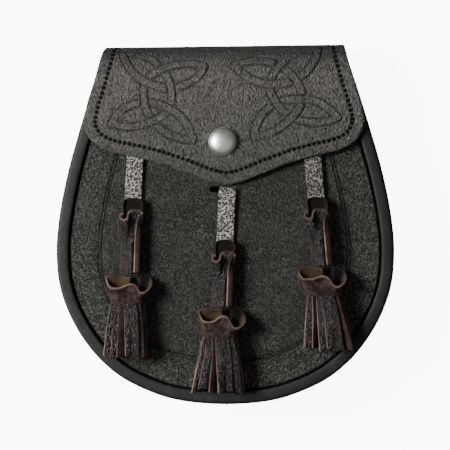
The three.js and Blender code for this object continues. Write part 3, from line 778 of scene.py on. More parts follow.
CORE_SHARES = [0.95, 0.9, 0.84, 0.78, 0.72, 0.66, 0.6, 0.54, 0.48, 0.42, 0.36, 0.3, 0.23, 0.15, 0.07, 0]


def panel_points(station, row, insets):
    """Points of a panel: rows inside the rim, then rows that close in on the middle of the top edge."""
    inset = insets[np.minimum(row, len(insets) - 1)]
    spot = inside_rim(station, inset)
    shares = np.concatenate([np.ones(len(insets)), CORE_SHARES])
    top_middle = np.array([0, BODY_TOP])
    spot = top_middle + (spot - top_middle) * shares[row][:, None]
    return spot[:, 0], spot[:, 1], inset


def make_front_panel():
    insets = front_rows()
    held = {}

    def place(station, row):
        x, y, inset = panel_points(station, row, insets)
        at_edge = (row < len(insets)).astype(float)
        lines = (CREASE_INSET, CREASE_INSET + CREASE_SPACING)
        crease = sum(groove(inset - line, CREASE_WIDTH) for line in lines) * at_edge
        beside = np.maximum(np.abs(inset - BINDING_WIDTH - SEAM_OFFSET) - SEAM_FLAT, 0)
        # This mask shapes the seam's groove and paints it near black: painted shade
        seam = groove(beside, 0.9) * at_edge
        held["tooling"] = np.clip(crease, 0, 1)
        # Lighter near the rim and darker towards the middle; the darker middle is partly painted shadow of
        # the tassels
        held["shade_and_tone"] = 0.35 - 0.5 * np.clip((inset - 12) / 28, 0, 1) * at_edge - 0.5 * (1 - at_edge)
        held["seam"] = seam
        z = panel_front(x, y) + 0.22 * ripple(x, y, 16, 4) * np.clip((inset - 8) / 10, 0, 1)
        z = z - CREASE_DEPTH * crease - SEAM_DEPTH * seam
        return np.stack([x, y, z], axis=1)

    rows = len(insets) + len(CORE_SHARES) - 1
    panel = leather_sheet("front_leather", RIM_COUNT - 1, rows, place, front_leather)
    for name, values in held.items():
        mark(panel, name, values)
    merge_close(panel)
    thicken(panel, PANEL_THICKNESS, offset=-1)
    cut_slits(panel)
    smooth_shaded(panel)
    return panel


def cut_slits(panel):
    """Cuts the slits that the tassels' straps come out of."""
    cutters = []
    for tassel in TASSELS.values():
        x, y = tassel_line(tassel)[0]
        middle = y + (SLIT_HEIGHT - STRAP_THICKNESS) / 2 - CLEARANCE
        bpy.ops.object.select_all(action="DESELECT")
        bpy.ops.mesh.primitive_cube_add(
            size=1,
            location=Vector((x - SLIT_OFFSET, middle, panel_front(x, y) - PANEL_THICKNESS / 2)) * MM,
            scale=Vector((SLIT_WIDTH, SLIT_HEIGHT, 4 * PANEL_THICKNESS)) * MM,
        )
        cutter = bpy.context.object
        start_editing()
        bpy.ops.mesh.bevel(offset=0.45 * SLIT_HEIGHT * MM, segments=4, affect="EDGES")
        stop_editing()
        cutters.append(cutter)
    cutter = joined(cutters, "slit_cutter")
    finish_with(panel, "BOOLEAN", operation="DIFFERENCE", object=cutter, solver="EXACT")
    bpy.data.objects.remove(cutter)


def make_back_panel():
    insets = np.array([PANEL_EDGE, 4, 6.5, 8, 11, 15, 20, 26])

    def place(station, row):
        mirrored = RIM_COUNT - 1 - station
        x, y, inset = panel_points(mirrored, row, insets)
        z = PANEL_BACK + 0.12 * (1 + ripple(x, y, 14, 9)) * np.clip((inset - 8) / 10, 0, 1)
        return np.stack([x, y, z], axis=1)

    rows = len(insets) + len(CORE_SHARES) - 1
    panel = leather_sheet("back_leather", RIM_COUNT - 1, rows, place, back_leather)
    merge_close(panel)
    thicken(panel, PANEL_THICKNESS, offset=-1)
    smooth_shaded(panel)
    return panel


def strip_round_rim(name, across, thickness, height, material, waver=None):
    """A leather strip bent round the rim. Its section's rows hold an inset and what height() makes z of."""

    def place(column, station):
        inset, level = across[column, 0], across[column, 1]
        if waver:
            inset = inset + waver(station, level)
        spot = inside_rim(station, inset)
        return np.stack([spot[:, 0], spot[:, 1], height(level, spot[:, 0], spot[:, 1])], axis=1)

    strip = leather_sheet(name, len(across) - 1, RIM_COUNT - 1, place, material)
    thicken(strip, thickness)
    return strip


def binding_section():
    """The folded binding's middle line: inset, and depth below its outer face."""
    half = BINDING_THICKNESS / 2
    deep = BINDING_HEIGHT - half
    return [
        (BINDING_WIDTH, half + 0.3), (BINDING_WIDTH - 1.2, half + 0.02), (4, half - 0.02), (2.6, half),
        (1.2, half + 0.25), (half, half + 1.3), (half - 0.05, BINDING_HEIGHT / 2), (half, deep - 1.3),
        (1.2, deep - 0.25), (2.6, deep), (4.4, deep), (BINDING_WIDTH, deep),
    ]


def make_binding(name, front):
    def height(depth, x, y):
        lift = 0.1 * ripple(x, y, 9, 21 if front else 22)
        outer = front_face(y) if front else BINDING_BACK + BINDING_HEIGHT
        return outer - depth + lift * (depth < 2)

    section = binding_section()
    if not front:
        section = [(inset, BINDING_HEIGHT - depth) for inset, depth in reversed(section)]
    strip = strip_round_rim(name, smooth_line(section, 27), BINDING_THICKNESS, height, binding_leather)
    soften_edges(strip, 0.25)
    smooth_shaded(strip)
    return strip


def gusset_section():
    """The side wall and its two flanges: inset, and share of the height between the flanges."""
    wall = GUSSET_RECESS + GUSSET_THICKNESS / 2
    edge = PANEL_EDGE
    section = [
        (edge, 1), (edge + 2, 1), (wall - 1.6, 1), (wall - 0.3, 0.98), (wall, 0.9), (wall + 0.35, 0.7),
        (wall + 0.7, 0.5), (wall + 0.35, 0.3), (wall, 0.1), (wall - 0.3, 0.02), (wall - 1.6, 0),
        (edge + 2, 0), (edge, 0),
    ]
    # The shares are millimetres while the line is smoothed
    span = DEPTH_BOTTOM - 2 * EDGE_STACK
    line = smooth_line([(inset, share * span) for inset, share in section], 41)
    return np.stack([line[:, 0], line[:, 1] / span], axis=1)


def make_gusset():
    """The side wall, with soft creases across it where the leather was bent round the corners."""
    level = EDGE_STACK + GUSSET_THICKNESS / 2

    def height(share, x, y):
        top = front_face(y) - level
        low = BINDING_BACK + level
        return low + (top - low) * share

    def creases(station, share):
        on_wall = np.clip(1 - np.abs(share - 0.5) * 2.4, 0, 1)
        crease = ripple(station * 1.9, share * 6, 3.2, 31) + 0.6 * ripple(station * 1.9, share * 9, 1.3, 32)
        return 0.45 * crease * on_wall

    strip = strip_round_rim(
        "gusset_leather", gusset_section(), GUSSET_THICKNESS, height, gusset_leather, creases)
    smooth_shaded(strip)
    return strip


# The flap: a sheet measured from where it starts to hang, upwards over the roll and down the back

FLAP_HANG_Y = ROLL_TOP - FLAP_ROLL_RADIUS
FLAP_BACK_Y = ROLL_TOP - FLAP_BACK_RADIUS
flap_front_z = front_face(FLAP_HANG_Y) - BINDING_THICKNESS - CLEARANCE + FLAP_LIFT + FLAP_THICKNESS
flap_left_edge = [(-across, down) for across, down in reversed(FLAP_EDGE[1:])]
flap_curve = smooth_line([*flap_left_edge, *FLAP_EDGE], 801)[400:]
flap_leg_half = half_width_at(BODY_TOP) - BINDING_WIDTH - FLAP_LEG_INSET
flap_top_half = FLAP_SIDE[0][1] * FLAP_WIDTH / 2


def flap_half_width(y):
    down = (ROLL_TOP - y) / FLAP_DROP
    rows = np.array(FLAP_SIDE)
    return np.interp(down, rows[:, 0], rows[:, 1]) * FLAP_WIDTH / 2


def roll_path():
    """The roll's outer face, from the hanging front to the foot of the leg: y, z and half width."""
    quarter = np.linspace(0, math.pi / 2, 25)
    front = [
        (FLAP_HANG_Y + FLAP_ROLL_RADIUS * math.sin(a), flap_front_z - FLAP_ROLL_RADIUS * (1 - math.cos(a)))
        for a in quarter
    ]
    back = [
        (FLAP_BACK_Y + FLAP_BACK_RADIUS * math.cos(a), FLAP_BACK_RADIUS * (1 - math.sin(a)))
        for a in quarter
    ]
    foot = [(BODY_TOP, 0), (BODY_TOP - FLAP_LEG_LENGTH, 0)]
    line = np.array([*front, *back, *foot])
    top = len(front) + 1
    half = np.concatenate([
        flap_half_width(line[:top, 0]),
        np.linspace(flap_top_half, flap_leg_half, len(back)),
        [flap_leg_half],
    ])
    return line, line_lengths(line), half[: len(line)]


roll_line, roll_lengths, roll_half = roll_path()
ROLL_LENGTH_OVER = roll_lengths[-1]


def flap_lower_edge(across):
    return ROLL_TOP - np.interp(np.abs(across), flap_curve[:, 0], flap_curve[:, 1]) * FLAP_DROP


def flap_top_z(x, y):
    return panel_front(x, y) + FLAP_LIFT + FLAP_THICKNESS


def over_roll(up):
    """y, z and the outward direction at a distance up over the roll from where the front starts."""
    def spot(at):
        return np.array([np.interp(at, roll_lengths, roll_line[:, axis]) for axis in (0, 1)])

    step = 0.4
    y, z = spot(up)
    dy, dz = spot(up + step) - spot(up - step)
    size = np.maximum(np.hypot(dy, dz), 1e-6)
    return y, z, -dz / size, dy / size


def on_flap(x, up):
    """A point of the flap's face, from its flat pattern: across, and up from where it starts to hang."""
    y_roll, z_roll, out_y, out_z = over_roll(np.maximum(up, 0))
    hangs = up <= 0
    y = np.where(hangs, FLAP_HANG_Y + up, y_roll)
    z = np.where(hangs, flap_top_z(x, y), z_roll)
    out_y = np.where(hangs, 0.0, out_y)
    out_z = np.where(hangs, 1.0, out_z)
    return np.stack([x, y, z], axis=-1), np.stack([0 * x, out_y, out_z], axis=-1)


def flap_columns():
    """Shares across the flap: close together at the edges, at the knots and at the stitching."""
    half = FLAP_WIDTH / 2
    edge = np.array([0, 0.12, 0.3, 0.55, 0.9, 1.4, 2.2, 3.2, 4.2, 5]) / half
    knots = np.linspace(5.6 / half, (half - 6) / half, 148)
    middle = np.linspace(0, 4.6 / half, 5)[1:]
    right = np.concatenate([middle, knots, 1 - edge[::-1]])
    return np.concatenate([-right[::-1], [0], right])


def flap_hang_rows():
    """Shares of the hanging front, from its lower edge up to the roll."""
    length = FLAP_HANG_Y - (ROLL_TOP - FLAP_DROP)
    edge = np.array([0, 0.12, 0.3, 0.55, 0.9, 1.4, 2.2, 3.2, 4.4]) / length
    return np.concatenate([edge, np.linspace(5 / length, 1, 150)])


# Two strands of a knot, in millimetres from its middle. The other two are the same, turned half round.
KNOT_STRANDS = {
    "bottom": [
        (-25.4, -15.4), (-22.6, -10.6), (-17, -6.4), (-10.4, -4.1), (-3.7, -4), (2.9, -5.9), (9, -8.8),
        (14.8, -14.2), (18, -20.1), (19.6, -24.4),
    ],
    "left": [
        (19.6, -24.4), (14.6, -24), (9.2, -22.6), (2.9, -19.3), (-1.4, -15.2), (-4.8, -10.8), (-6.8, -5.9),
        (-7.6, -0.4), (-7.4, 4.4), (-4.8, 9.2), (-0.5, 12.6), (7.4, 15.8), (17, 17.1), (25.4, 15.4),
    ],
}
KNOT_TWINS = {"bottom": "top", "left": "right"}
KNOT_HALF_WIDTH = 2.15
KNOT_LINE_WIDTH = 0.95  # of the tooled line on each side of a strand
KNOT_LINE_DEPTH = 0.6
KNOT_RIBBON_RISE = 0.22
KNOT_REACH = 38  # no strand goes further from the knot's middle
KNOT_TIPS = {
    ("bottom", "right"): (-25.4, -15.4), ("bottom", "left"): (19.6, -24.4), ("top", "left"): (25.4, 15.4),
    ("top", "right"): (-19.6, 24.4),
}
KNOT_TIP_REACH = 11
# Which strand lies over which, and on which side of the middle (0 for both)
KNOT_CROSSINGS = [
    ("left", "bottom", 0), ("bottom", "right", 0), ("right", "top", 0), ("top", "left", 0),
    ("right", "left", -1), ("left", "right", 1),
]
KNOTS = [dict(centre=(-35.3, 70.4), turn=0), dict(centre=(34.4, 71.8), turn=24)]


def distance_to_line(x, y, line):
    """Distance of many points to a line, taken one stretch of it at a time to save memory."""
    best = np.full(len(x), 1e9)
    for start, end in zip(line[:-1], line[1:]):
        side = end - start
        share = np.clip(((x - start[0]) * side[0] + (y - start[1]) * side[1]) / (side @ side), 0, 1)
        reach = np.hypot(x - start[0] - share * side[0], y - start[1] - share * side[1])
        best = np.minimum(best, reach)
    return best


def knot_distance(x, y, knot):
    """Distance to the middle of the strand that shows, for points in the flap's flat pattern."""
    turn = math.radians(knot["turn"])
    dx, dy = x - knot["centre"][0], y - knot["centre"][1]
    u = dx * math.cos(turn) + dy * math.sin(turn)
    v = dy * math.cos(turn) - dx * math.sin(turn)
    far = {}
    for name, points in KNOT_STRANDS.items():
        line = smooth_line(points, 70)
        far[name] = distance_to_line(u, v, line)
        far[KNOT_TWINS[name]] = distance_to_line(u, v, -line)
    shows = np.minimum.reduce(list(far.values()))
    over_reach = KNOT_HALF_WIDTH + 0.55
    for over, under, side in KNOT_CROSSINGS:
        tip = KNOT_TIPS.get((over, under)) or KNOT_TIPS.get((under, over))
        crossing = (far[over] < over_reach) & (far[under] < over_reach + 1)
        if side:
            crossing &= v * side > 0
        if tip:
            crossing &= np.hypot(u - tip[0], v - tip[1]) > KNOT_TIP_REACH
        shows = np.where(crossing, far[over], shows)
    return shows


def flap_edge_line():
    """The flap's edge in its flat pattern, from the left end of the roll round to the right end."""
    rise = np.linspace(ROLL_LENGTH_OVER, 0, 60)
    sides = np.interp(rise, roll_lengths, roll_half)
    side_top = np.stack([sides, rise], axis=1)
    hang = np.linspace(0, flap_lower_edge(1) - FLAP_HANG_Y, 30)[1:]
    side_low = np.stack([flap_half_width(FLAP_HANG_Y + hang), hang], axis=1)
    across = flap_curve[::-1, 0][1:]
    y = flap_lower_edge(across)
    low = np.stack([across * flap_half_width(y) + tip_shift(across, 1), y - FLAP_HANG_Y], axis=1)
    low_left = np.stack([-across * flap_half_width(y) + tip_shift(across, 1), y - FLAP_HANG_Y], axis=1)
    right = np.vstack([side_top, side_low, low])
    left = np.vstack([side_top * (-1, 1), side_low * (-1, 1), low_left])
    return np.vstack([left, right[::-1][1:]])


def tip_shift(across, share):
    """The flap's tip hangs a little to the right."""
    return FLAP_TIP_OFFSET * (1 - np.abs(across)) * share**2


def make_flap():
    columns = flap_columns()
    hang = flap_hang_rows()
    over = np.concatenate([
        np.arange(0.42, 19, 0.42), np.arange(19.6, ROLL_LENGTH_OVER - 4, 1.5),
        ROLL_LENGTH_OVER - np.array([3, 2, 1.2, 0.6, 0.25, 0]),
    ])
    pattern = {}

    def place(column, row):
        across = columns[column]
        share = np.where(row < len(hang), hang[np.minimum(row, len(hang) - 1)], 1)
        edge_y = flap_lower_edge(across)
        y = edge_y + (FLAP_HANG_Y - edge_y) * share
        up = np.where(row < len(hang), y - FLAP_HANG_Y, over[np.maximum(row - len(hang), 0)])
        half = np.where(up <= 0, flap_half_width(y), np.interp(up, roll_lengths, roll_half))
        x = across * half + np.where(up <= 0, tip_shift(across, 1 - share), 0)
        pattern["x"], pattern["up"] = x, up
        spot, out = on_flap(x, up)
        return spot + out * (0.3 * ripple(x, up, 15, 12) * np.clip(1 - np.abs(up) / 90, 0, 1))[:, None]

    sides = (flap_leather_painted_sheen, flap_cut_edge, inner_suede)
    flap = leather_sheet("flap_leather_painted_sheen", len(columns) - 1, len(hang) + len(over) - 1, place, *sides)
    x, up = pattern["x"], pattern["up"]
    outer_count = len(x)
    out = on_flap(x, up)[1]
    relief, tooling, holes = flap_relief(x, up)
    thicken(flap, FLAP_THICKNESS, offset=-1, cut_edges=True)
    points = read_points(flap)
    points[:outer_count] += out * relief[:, None]
    write_points(flap, points)
    rest = np.zeros(len(points) - outer_count)
    mark(flap, "tooling", np.concatenate([tooling, rest]))
    # The stitch holes' mask paints them near black: painted shade in the holes
    mark(flap, "seam", np.concatenate([holes, rest]))
    # Painted shade on the leather stretched over the roll, which turns away from the light
    mark(flap, "roll_shade", np.concatenate([roll_shade_mask(up), rest]))
    # Painted shade: lighter at the top of the hanging front and darker towards its lower edge, as the light
    # falls
    mark(flap, "shade_and_tone", np.concatenate([0.3 - 0.75 * np.clip((-12 - up) / 58, 0, 1), rest]))
    thin_inside(flap, outer_count)
    smooth_shaded(flap, 65)
    return flap


def roll_shade_mask(up):
    """1 where the leather is stretched over the roll and is painted darker as shade, 0 on the hanging front
    and on the leg.
    """
    return np.clip((up + 6) / 14, 0, 1) * np.clip((ROLL_LENGTH_OVER - FLAP_LEG_LENGTH - up) / 6, 0, 1)


def flap_relief(x, up):
    """How far the flap's face stands out of the flat, and masks of its tooled lines and stitch holes."""
    edge = distance_to_line(x, up, flap_edge_line()[::3])
    edge_round = -FLAP_ROUND_DEPTH * np.clip(1 - edge / FLAP_ROUND_WIDTH, 0, 1) ** 2
    channel = groove(edge - FLAP_STITCH_INSET, CHANNEL_WIDTH)
    near = np.full(len(x), 1e9)
    for knot in KNOTS:
        close = np.hypot(x - knot["centre"][0], up + FLAP_HANG_Y - knot["centre"][1]) < KNOT_REACH
        spacing = knot_distance(x[close], up[close] + FLAP_HANG_Y, knot)
        near[close] = np.minimum(near[close], spacing)
    line = groove(near - KNOT_HALF_WIDTH, KNOT_LINE_WIDTH)
    ribbon = np.clip((KNOT_HALF_WIDTH - near) / 0.8, 0, 1)
    stitches = flap_stitch_line()
    count = int(line_lengths(stitches)[-1] / FLAP_STITCH_PITCH) + 1
    ends = even_line(stitches, count)
    holes = np.zeros(len(x))
    for spot in (ends[:-1] + ends[1:]) / 2:
        near_by = np.hypot(x - spot[0], up - spot[1])
        holes = np.maximum(holes, np.clip((HOLE_RADIUS - near_by) / 0.5, 0, 1))
    tooled = CHANNEL_DEPTH * channel
    relief = edge_round - tooled - KNOT_LINE_DEPTH * line + KNOT_RIBBON_RISE * ribbon - HOLE_DEPTH * holes
    return relief, np.clip(line + 0.2 * channel, 0, 1), holes


def thin_inside(flap, outer_count):
    """Takes points out of the flap's hidden inner face, which needs few."""
    group = flap.vertex_groups.new(name="inside")
    count = len(flap.data.vertices)
    boundary = set()
    for edge in flap.data.edges:
        a, b = edge.vertices
        if (a < outer_count) != (b < outer_count):
            boundary.update((a, b))
    inner = [i for i in range(outer_count, count) if i not in boundary]
    group.add(inner, 1.0, "REPLACE")
    faces = sum(len(polygon.vertices) - 2 for polygon in flap.data.polygons)
    kept = faces - 2 * len(inner) + INSIDE_TRIANGLES
    finish_with(
        flap, "DECIMATE", decimate_type="COLLAPSE", ratio=kept / faces, vertex_group="inside",
        vertex_group_factor=1,
    )


# Stitching


def make_stitches(name, places, length, width, height):
    """Short raised stitches of thread. A place is its middle, its direction and the way out."""
    bpy.ops.object.select_all(action="DESELECT")
    bpy.ops.mesh.primitive_uv_sphere_add(segments=8, ring_count=6, radius=0.5)
    model = bpy.context.object
    start_editing()
    bpy.ops.transform.resize(value=(length * MM, width * MM, height * MM))
    stop_editing()
    copies = []
    for middle, along, out in places:
        out = Vector(out).normalized()
        along = (Vector(along) - out * Vector(along).dot(out)).normalized()
        side = out.cross(along)
        turn = Matrix((along, side, out)).transposed().to_4x4()
        copy = model.copy()
        copy.data = model.data.copy()
        bpy.context.collection.objects.link(copy)
        copy.data.transform(Matrix.Translation(Vector(middle) * MM) @ turn)
        copies.append(copy)
    bpy.data.objects.remove(model)
    stitches = joined(copies, name)
    stitches.data.materials.append(thread)
    only(stitches)
    bpy.ops.object.shade_smooth()
    return stitches


def places_along(line, pitch, surface):
    """Stitch places along a line in a flat pattern, set on a surface that gives a point and its normal."""
    count = max(int(line_lengths(line)[-1] / pitch), 1)
    even = even_line(line, count + 1)
    places = []
    for start, end in zip(even[:-1], even[1:]):
        middle = (start + end) / 2
        spot, out = surface(middle)
        ahead = surface(middle + (end - start) * 0.2)[0]
        places.append((spot, ahead - spot, out))
    return places


def flap_surface(spot):
    place, out = on_flap(np.array([spot[0]]), np.array([spot[1]]))
    return place[0] + out[0] * -0.3, out[0]


def flap_stitch_line():
    """The line of stitches along the flap's edge, in the flat pattern."""
    edge = even_line(flap_edge_line(), 900)
    along = np.gradient(edge, axis=0)
    along /= np.linalg.norm(along, axis=1)[:, None]
    inward = np.stack([-along[:, 1], along[:, 0]], axis=1)
    line = edge + inward * FLAP_STITCH_INSET
    keeps = distance_to_line(line[:, 0], line[:, 1], edge[::3]) > FLAP_STITCH_INSET - 0.12
    return line[keeps & (line[:, 1] < ROLL_LENGTH_OVER - FLAP_LEG_LENGTH)]


def make_flap_stitches():
    places = places_along(flap_stitch_line(), FLAP_STITCH_PITCH, flap_surface)
    for up in (ROLL_LENGTH_OVER - 4, ROLL_LENGTH_OVER - FLAP_LEG_LENGTH + 9):
        row = np.array([(-flap_leg_half + 4, up), (flap_leg_half - 4, up)])
        places += places_along(row, FLAP_STITCH_PITCH, flap_surface)
    return make_stitches("flap_stitching", places, **FLAP_THREAD)


def make_binding_stitches(name, front):
    """Stitches along a binding: down in the seam beside it in front, where the groove is painted near black
    as shade, and through it behind.
    """
    inset = BINDING_WIDTH + (SEAM_OFFSET if front else -BACK_STITCH_INSET)
    line = (rim + rim_inward * inset)[2:-2]

    def surface(spot):
        height = panel_front(spot[0], spot[1]) - SEAM_STITCH_DEPTH if front else BINDING_BACK - 0.02
        return np.array([spot[0], spot[1], height]), np.array([0, 0, 1 if front else -1])

    places = places_along(line, BINDING_STITCH_PITCH, surface)
    return make_stitches(name, places, **BINDING_THREAD)


# The snap


def at_snap(piece, height):
    """Sets a piece made round the Z axis on the snap's axis, square to the sloping front."""
    y = sum(corner[1] for corner in node_box("snap_cap")) / 2
    slope = (panel_front(0, y + 1) - panel_front(0, y - 1)) / 2
    points = read_points(piece) + (0, 0, height)
    turn = np.array(Matrix.Rotation(math.atan(slope), 3, "X"))
    write_points(piece, points @ turn.T + (0, y, panel_front(0, y)))


def make_disc(name, radius, sides):
    bpy.ops.object.select_all(action="DESELECT")
    bpy.ops.mesh.primitive_circle_add(vertices=sides, radius=radius * MM, fill_type="NGON")
    piece = bpy.context.object
    piece.name = name
    start_editing()
    return piece


def pull_out(height):
    """Extrudes the selected round face along Z."""
    bpy.ops.mesh.extrude_region_move(TRANSFORM_OT_translate={"value": (0, 0, height * MM)})


def step_in(inset, height):
    """Insets the selected round face and lifts it."""
    bpy.ops.mesh.inset(thickness=inset * MM, depth=height * MM, use_outset=False)


def make_snap_cap():
    """A dome with a rolled edge, and its post."""
    radius = CAP_DIAMETER / 2
    reach = radius - CAP_ROUND
    grow = radius / reach
    cap = make_disc("snap_dome", reach, 96)
    pull_out(CAP_EDGE / 4)
    bpy.ops.transform.resize(value=(grow, grow, 1))
    pull_out(CAP_EDGE / 2)
    pull_out(CAP_EDGE / 4)
    bpy.ops.transform.resize(value=(1 / grow, 1 / grow, 1))
    last_share, last_height = 1.0, 0.0
    for turn in range(4, 90, 4):
        share = math.cos(math.radians(turn))
        height = (CAP_HEIGHT - CAP_EDGE) * math.sqrt(1 - share**2)
        step_in((last_share - share) * reach, height - last_height)
        last_share, last_height = share, height
    bpy.ops.mesh.merge(type="CENTER")
    stop_editing()
    post = make_disc("snap_post", POST_DIAMETER / 2, 32)
    pull_out(-POST_LENGTH)
    bpy.ops.mesh.select_all(action="SELECT")
    bpy.ops.mesh.normals_make_consistent(inside=False)
    stop_editing()
    whole = joined([cap, post], "snap_dome")
    whole.data.materials.append(nickel_finish)
    at_snap(whole, FLAP_LIFT + FLAP_THICKNESS + CLEARANCE)
    smooth_shaded(whole, 35)
    return whole


def make_snap_stud():
    """A plain disc with a socket for the post."""
    height = FLAP_LIFT - 2 * CLEARANCE
    stud = make_disc("snap_socket", STUD_DIAMETER / 2, 64)
    pull_out(height / 2)
    step_in(0.25, 0.15)
    step_in(1.75, height / 2 - 0.15)
    step_in(0.9, 0)
    step_in(0.05, -(height - STUD_FLOOR))
    stop_editing()
    stud.data.materials.append(steel_finish)
    at_snap(stud, CLEARANCE)
    smooth_shaded(stud, 35)
    return stud


# The keeper on the back


def make_keeper():
    low, high = node_box("back_loop")
    width, top, bottom = high[0] - low[0], high[1], low[1]
    sewn = high[2] - KEEPER_THICKNESS / 2
    free = low[2] + KEEPER_THICKNESS / 2
    columns, rows = 24, 60
    path = smooth_line([
        (bottom, sewn), (bottom + KEEPER_END - 1, sewn), (bottom + KEEPER_END + KEEPER_RAMP, free),
        ((bottom + top) / 2, free), (top - KEEPER_END - KEEPER_RAMP, free), (top - KEEPER_END + 1, sewn),
        (top, sewn),
    ], rows + 1)

    def place(column, row):
        x = (column / columns - 0.5) * width
        return np.stack([x, path[rows - row, 0], path[rows - row, 1]], axis=1)

    keeper = leather_sheet("keeper_leather", columns, rows, place, keeper_leather)
    thicken(keeper, KEEPER_THICKNESS)
    soften_edges(keeper, 0.35)
    smooth_shaded(keeper)
    return keeper


def make_keeper_stitches():
    low, high = node_box("back_loop")
    height = high[2] - KEEPER_THICKNESS - 0.02

    def surface(spot):
        return np.array([spot[0], spot[1], height]), np.array([0, 0, -1])

    places = []
    for y in (low[1] + 2.4, low[1] + 6, high[1] - 6, high[1] - 2.4):
        row = np.array([(low[0] + KEEPER_STITCH_INSET, y), (high[0] - KEEPER_STITCH_INSET, y)])
        places += places_along(row, KEEPER_STITCH_PITCH, surface)
    return make_stitches("keeper_stitching", places, **KEEPER_THREAD)


# The tassels


def tassel_line(tassel):
    """Where the strap comes out of its slit, and the top of the tassel's head."""
    height = ROLL_TOP - BOTTOM
    return [(share * HALF_WIDTH, BOTTOM + up * height) for share, up in (tassel["slit"], tassel["head"])]


def tassel_x(tassel, y):
    (slit_x, slit_y), (head_x, head_y) = tassel_line(tassel)
    return slit_x + (head_x - slit_x) * (y - slit_y) / (head_y - slit_y)


def make_strap(name, tassel):
    (slit_x, slit_y), (_, head_y) = tassel_line(tassel)
    lift = CLEARANCE + STRAP_THICKNESS / 2
    inner = -PANEL_THICKNESS - lift
    columns, rows = 14, 90
    path = smooth_line([
        (slit_y + STRAP_TAIL, inner), (slit_y + 4, inner), (slit_y + 1, inner + 0.1),
        (slit_y, inner + 1.2), (slit_y, 0), (slit_y - 1, lift), (slit_y - 4, lift),
        ((slit_y + head_y) / 2, lift), (head_y + CLEARANCE, lift),
    ], rows + 1)

    def place(column, row):
        share = column / columns - 0.5
        y, z = path[rows - row, 0], path[rows - row, 1]
        middle = tassel_x(tassel, np.minimum(y, slit_y))
        crown = 0.12 * (1 - (2 * share) ** 2)
        wave = 0.1 * ripple(share * 9 + middle, y, 5, tassel["seed"])
        edge = 0.12 * ripple(np.sign(share) * 30, y, 2.5, tassel["seed"] + 40)
        x = middle + share * (STRAP_WIDTH + edge)
        return lay_on_front(np.stack([x, y, z + (crown + wave) * (z > 0)], axis=1))

    strap = leather_sheet(name, columns, rows, place, strap_finish_painted_highlights)
    # Painted shade: the strap's darkness, greatest on the right one
    mark(strap, "shade_and_tone", np.full(len(strap.data.vertices), tassel["shade_and_tone"]))
    thicken(strap, STRAP_THICKNESS)
    soften_edges(strap, 0.4)
    smooth_shaded(strap)
    return strap


def curled_sheet(name, tassel, sections, columns, levels, materials, swing=None):
    """Leather rolled along a line that goes from one section to another down its length.

    A level has y, width, depth and lift, and may have a turn and its share of the second section.
    Of the three materials the first shows on the sheet's own side, the second on cut edges and the third
    on its other side.
    """
    lines = []
    for level in levels:
        turn = level.get("turn", 0)
        first, last = np.array(sections[0]), np.array(sections[-1])
        scaled = []
        for across, out in first + (last - first) * level.get("change", 0):
            side, rise = across * level["width"], (out - 0.5) * level["depth"]
            scaled.append((
                side * math.cos(turn) - rise * math.sin(turn),
                side * math.sin(turn) + rise * math.cos(turn) + 0.5 * level["depth"],
            ))
        lines.append(smooth_line(scaled, columns + 1))
    lines = np.array(lines)
    level_y = np.array([level["y"] for level in levels])
    lift = np.array([level["lift"] for level in levels])

    def place(column, row):
        across, out = lines[row, column, 0], lines[row, column, 1]
        x = tassel_x(tassel, level_y[row]) + across
        points = np.stack([x, level_y[row], lift[row] + np.maximum(out, 0.6)], axis=1)
        if swing:
            points = swing(points, row)
        return lay_on_front(points)

    return leather_sheet(name, columns, len(levels) - 1, place, *materials)


def cut_slanting(piece, top, reach, slope, lift):
    """Slants a rolled piece's top: the further out a point is, the lower it goes, fading to its foot."""
    points = read_points(piece)
    out = points[:, 2] - panel_front(points[:, 0], points[:, 1]) - lift
    points[:, 1] -= slope * out * np.clip(1 - (top - points[:, 1]) / reach, 0, 1)
    points[:, 2] = out + lift + panel_front(points[:, 0], points[:, 1])
    write_points(piece, points)


def depth_shade(piece, lift, depth):
    """A rolled piece's points, and a value that darkens them where they lie deep: painted shade."""
    points = read_points(piece)
    out = (points[:, 2] - panel_front(points[:, 0], points[:, 1]) - lift) / depth
    return points, -0.75 * np.clip((0.42 - out) / 0.3, 0, 1)


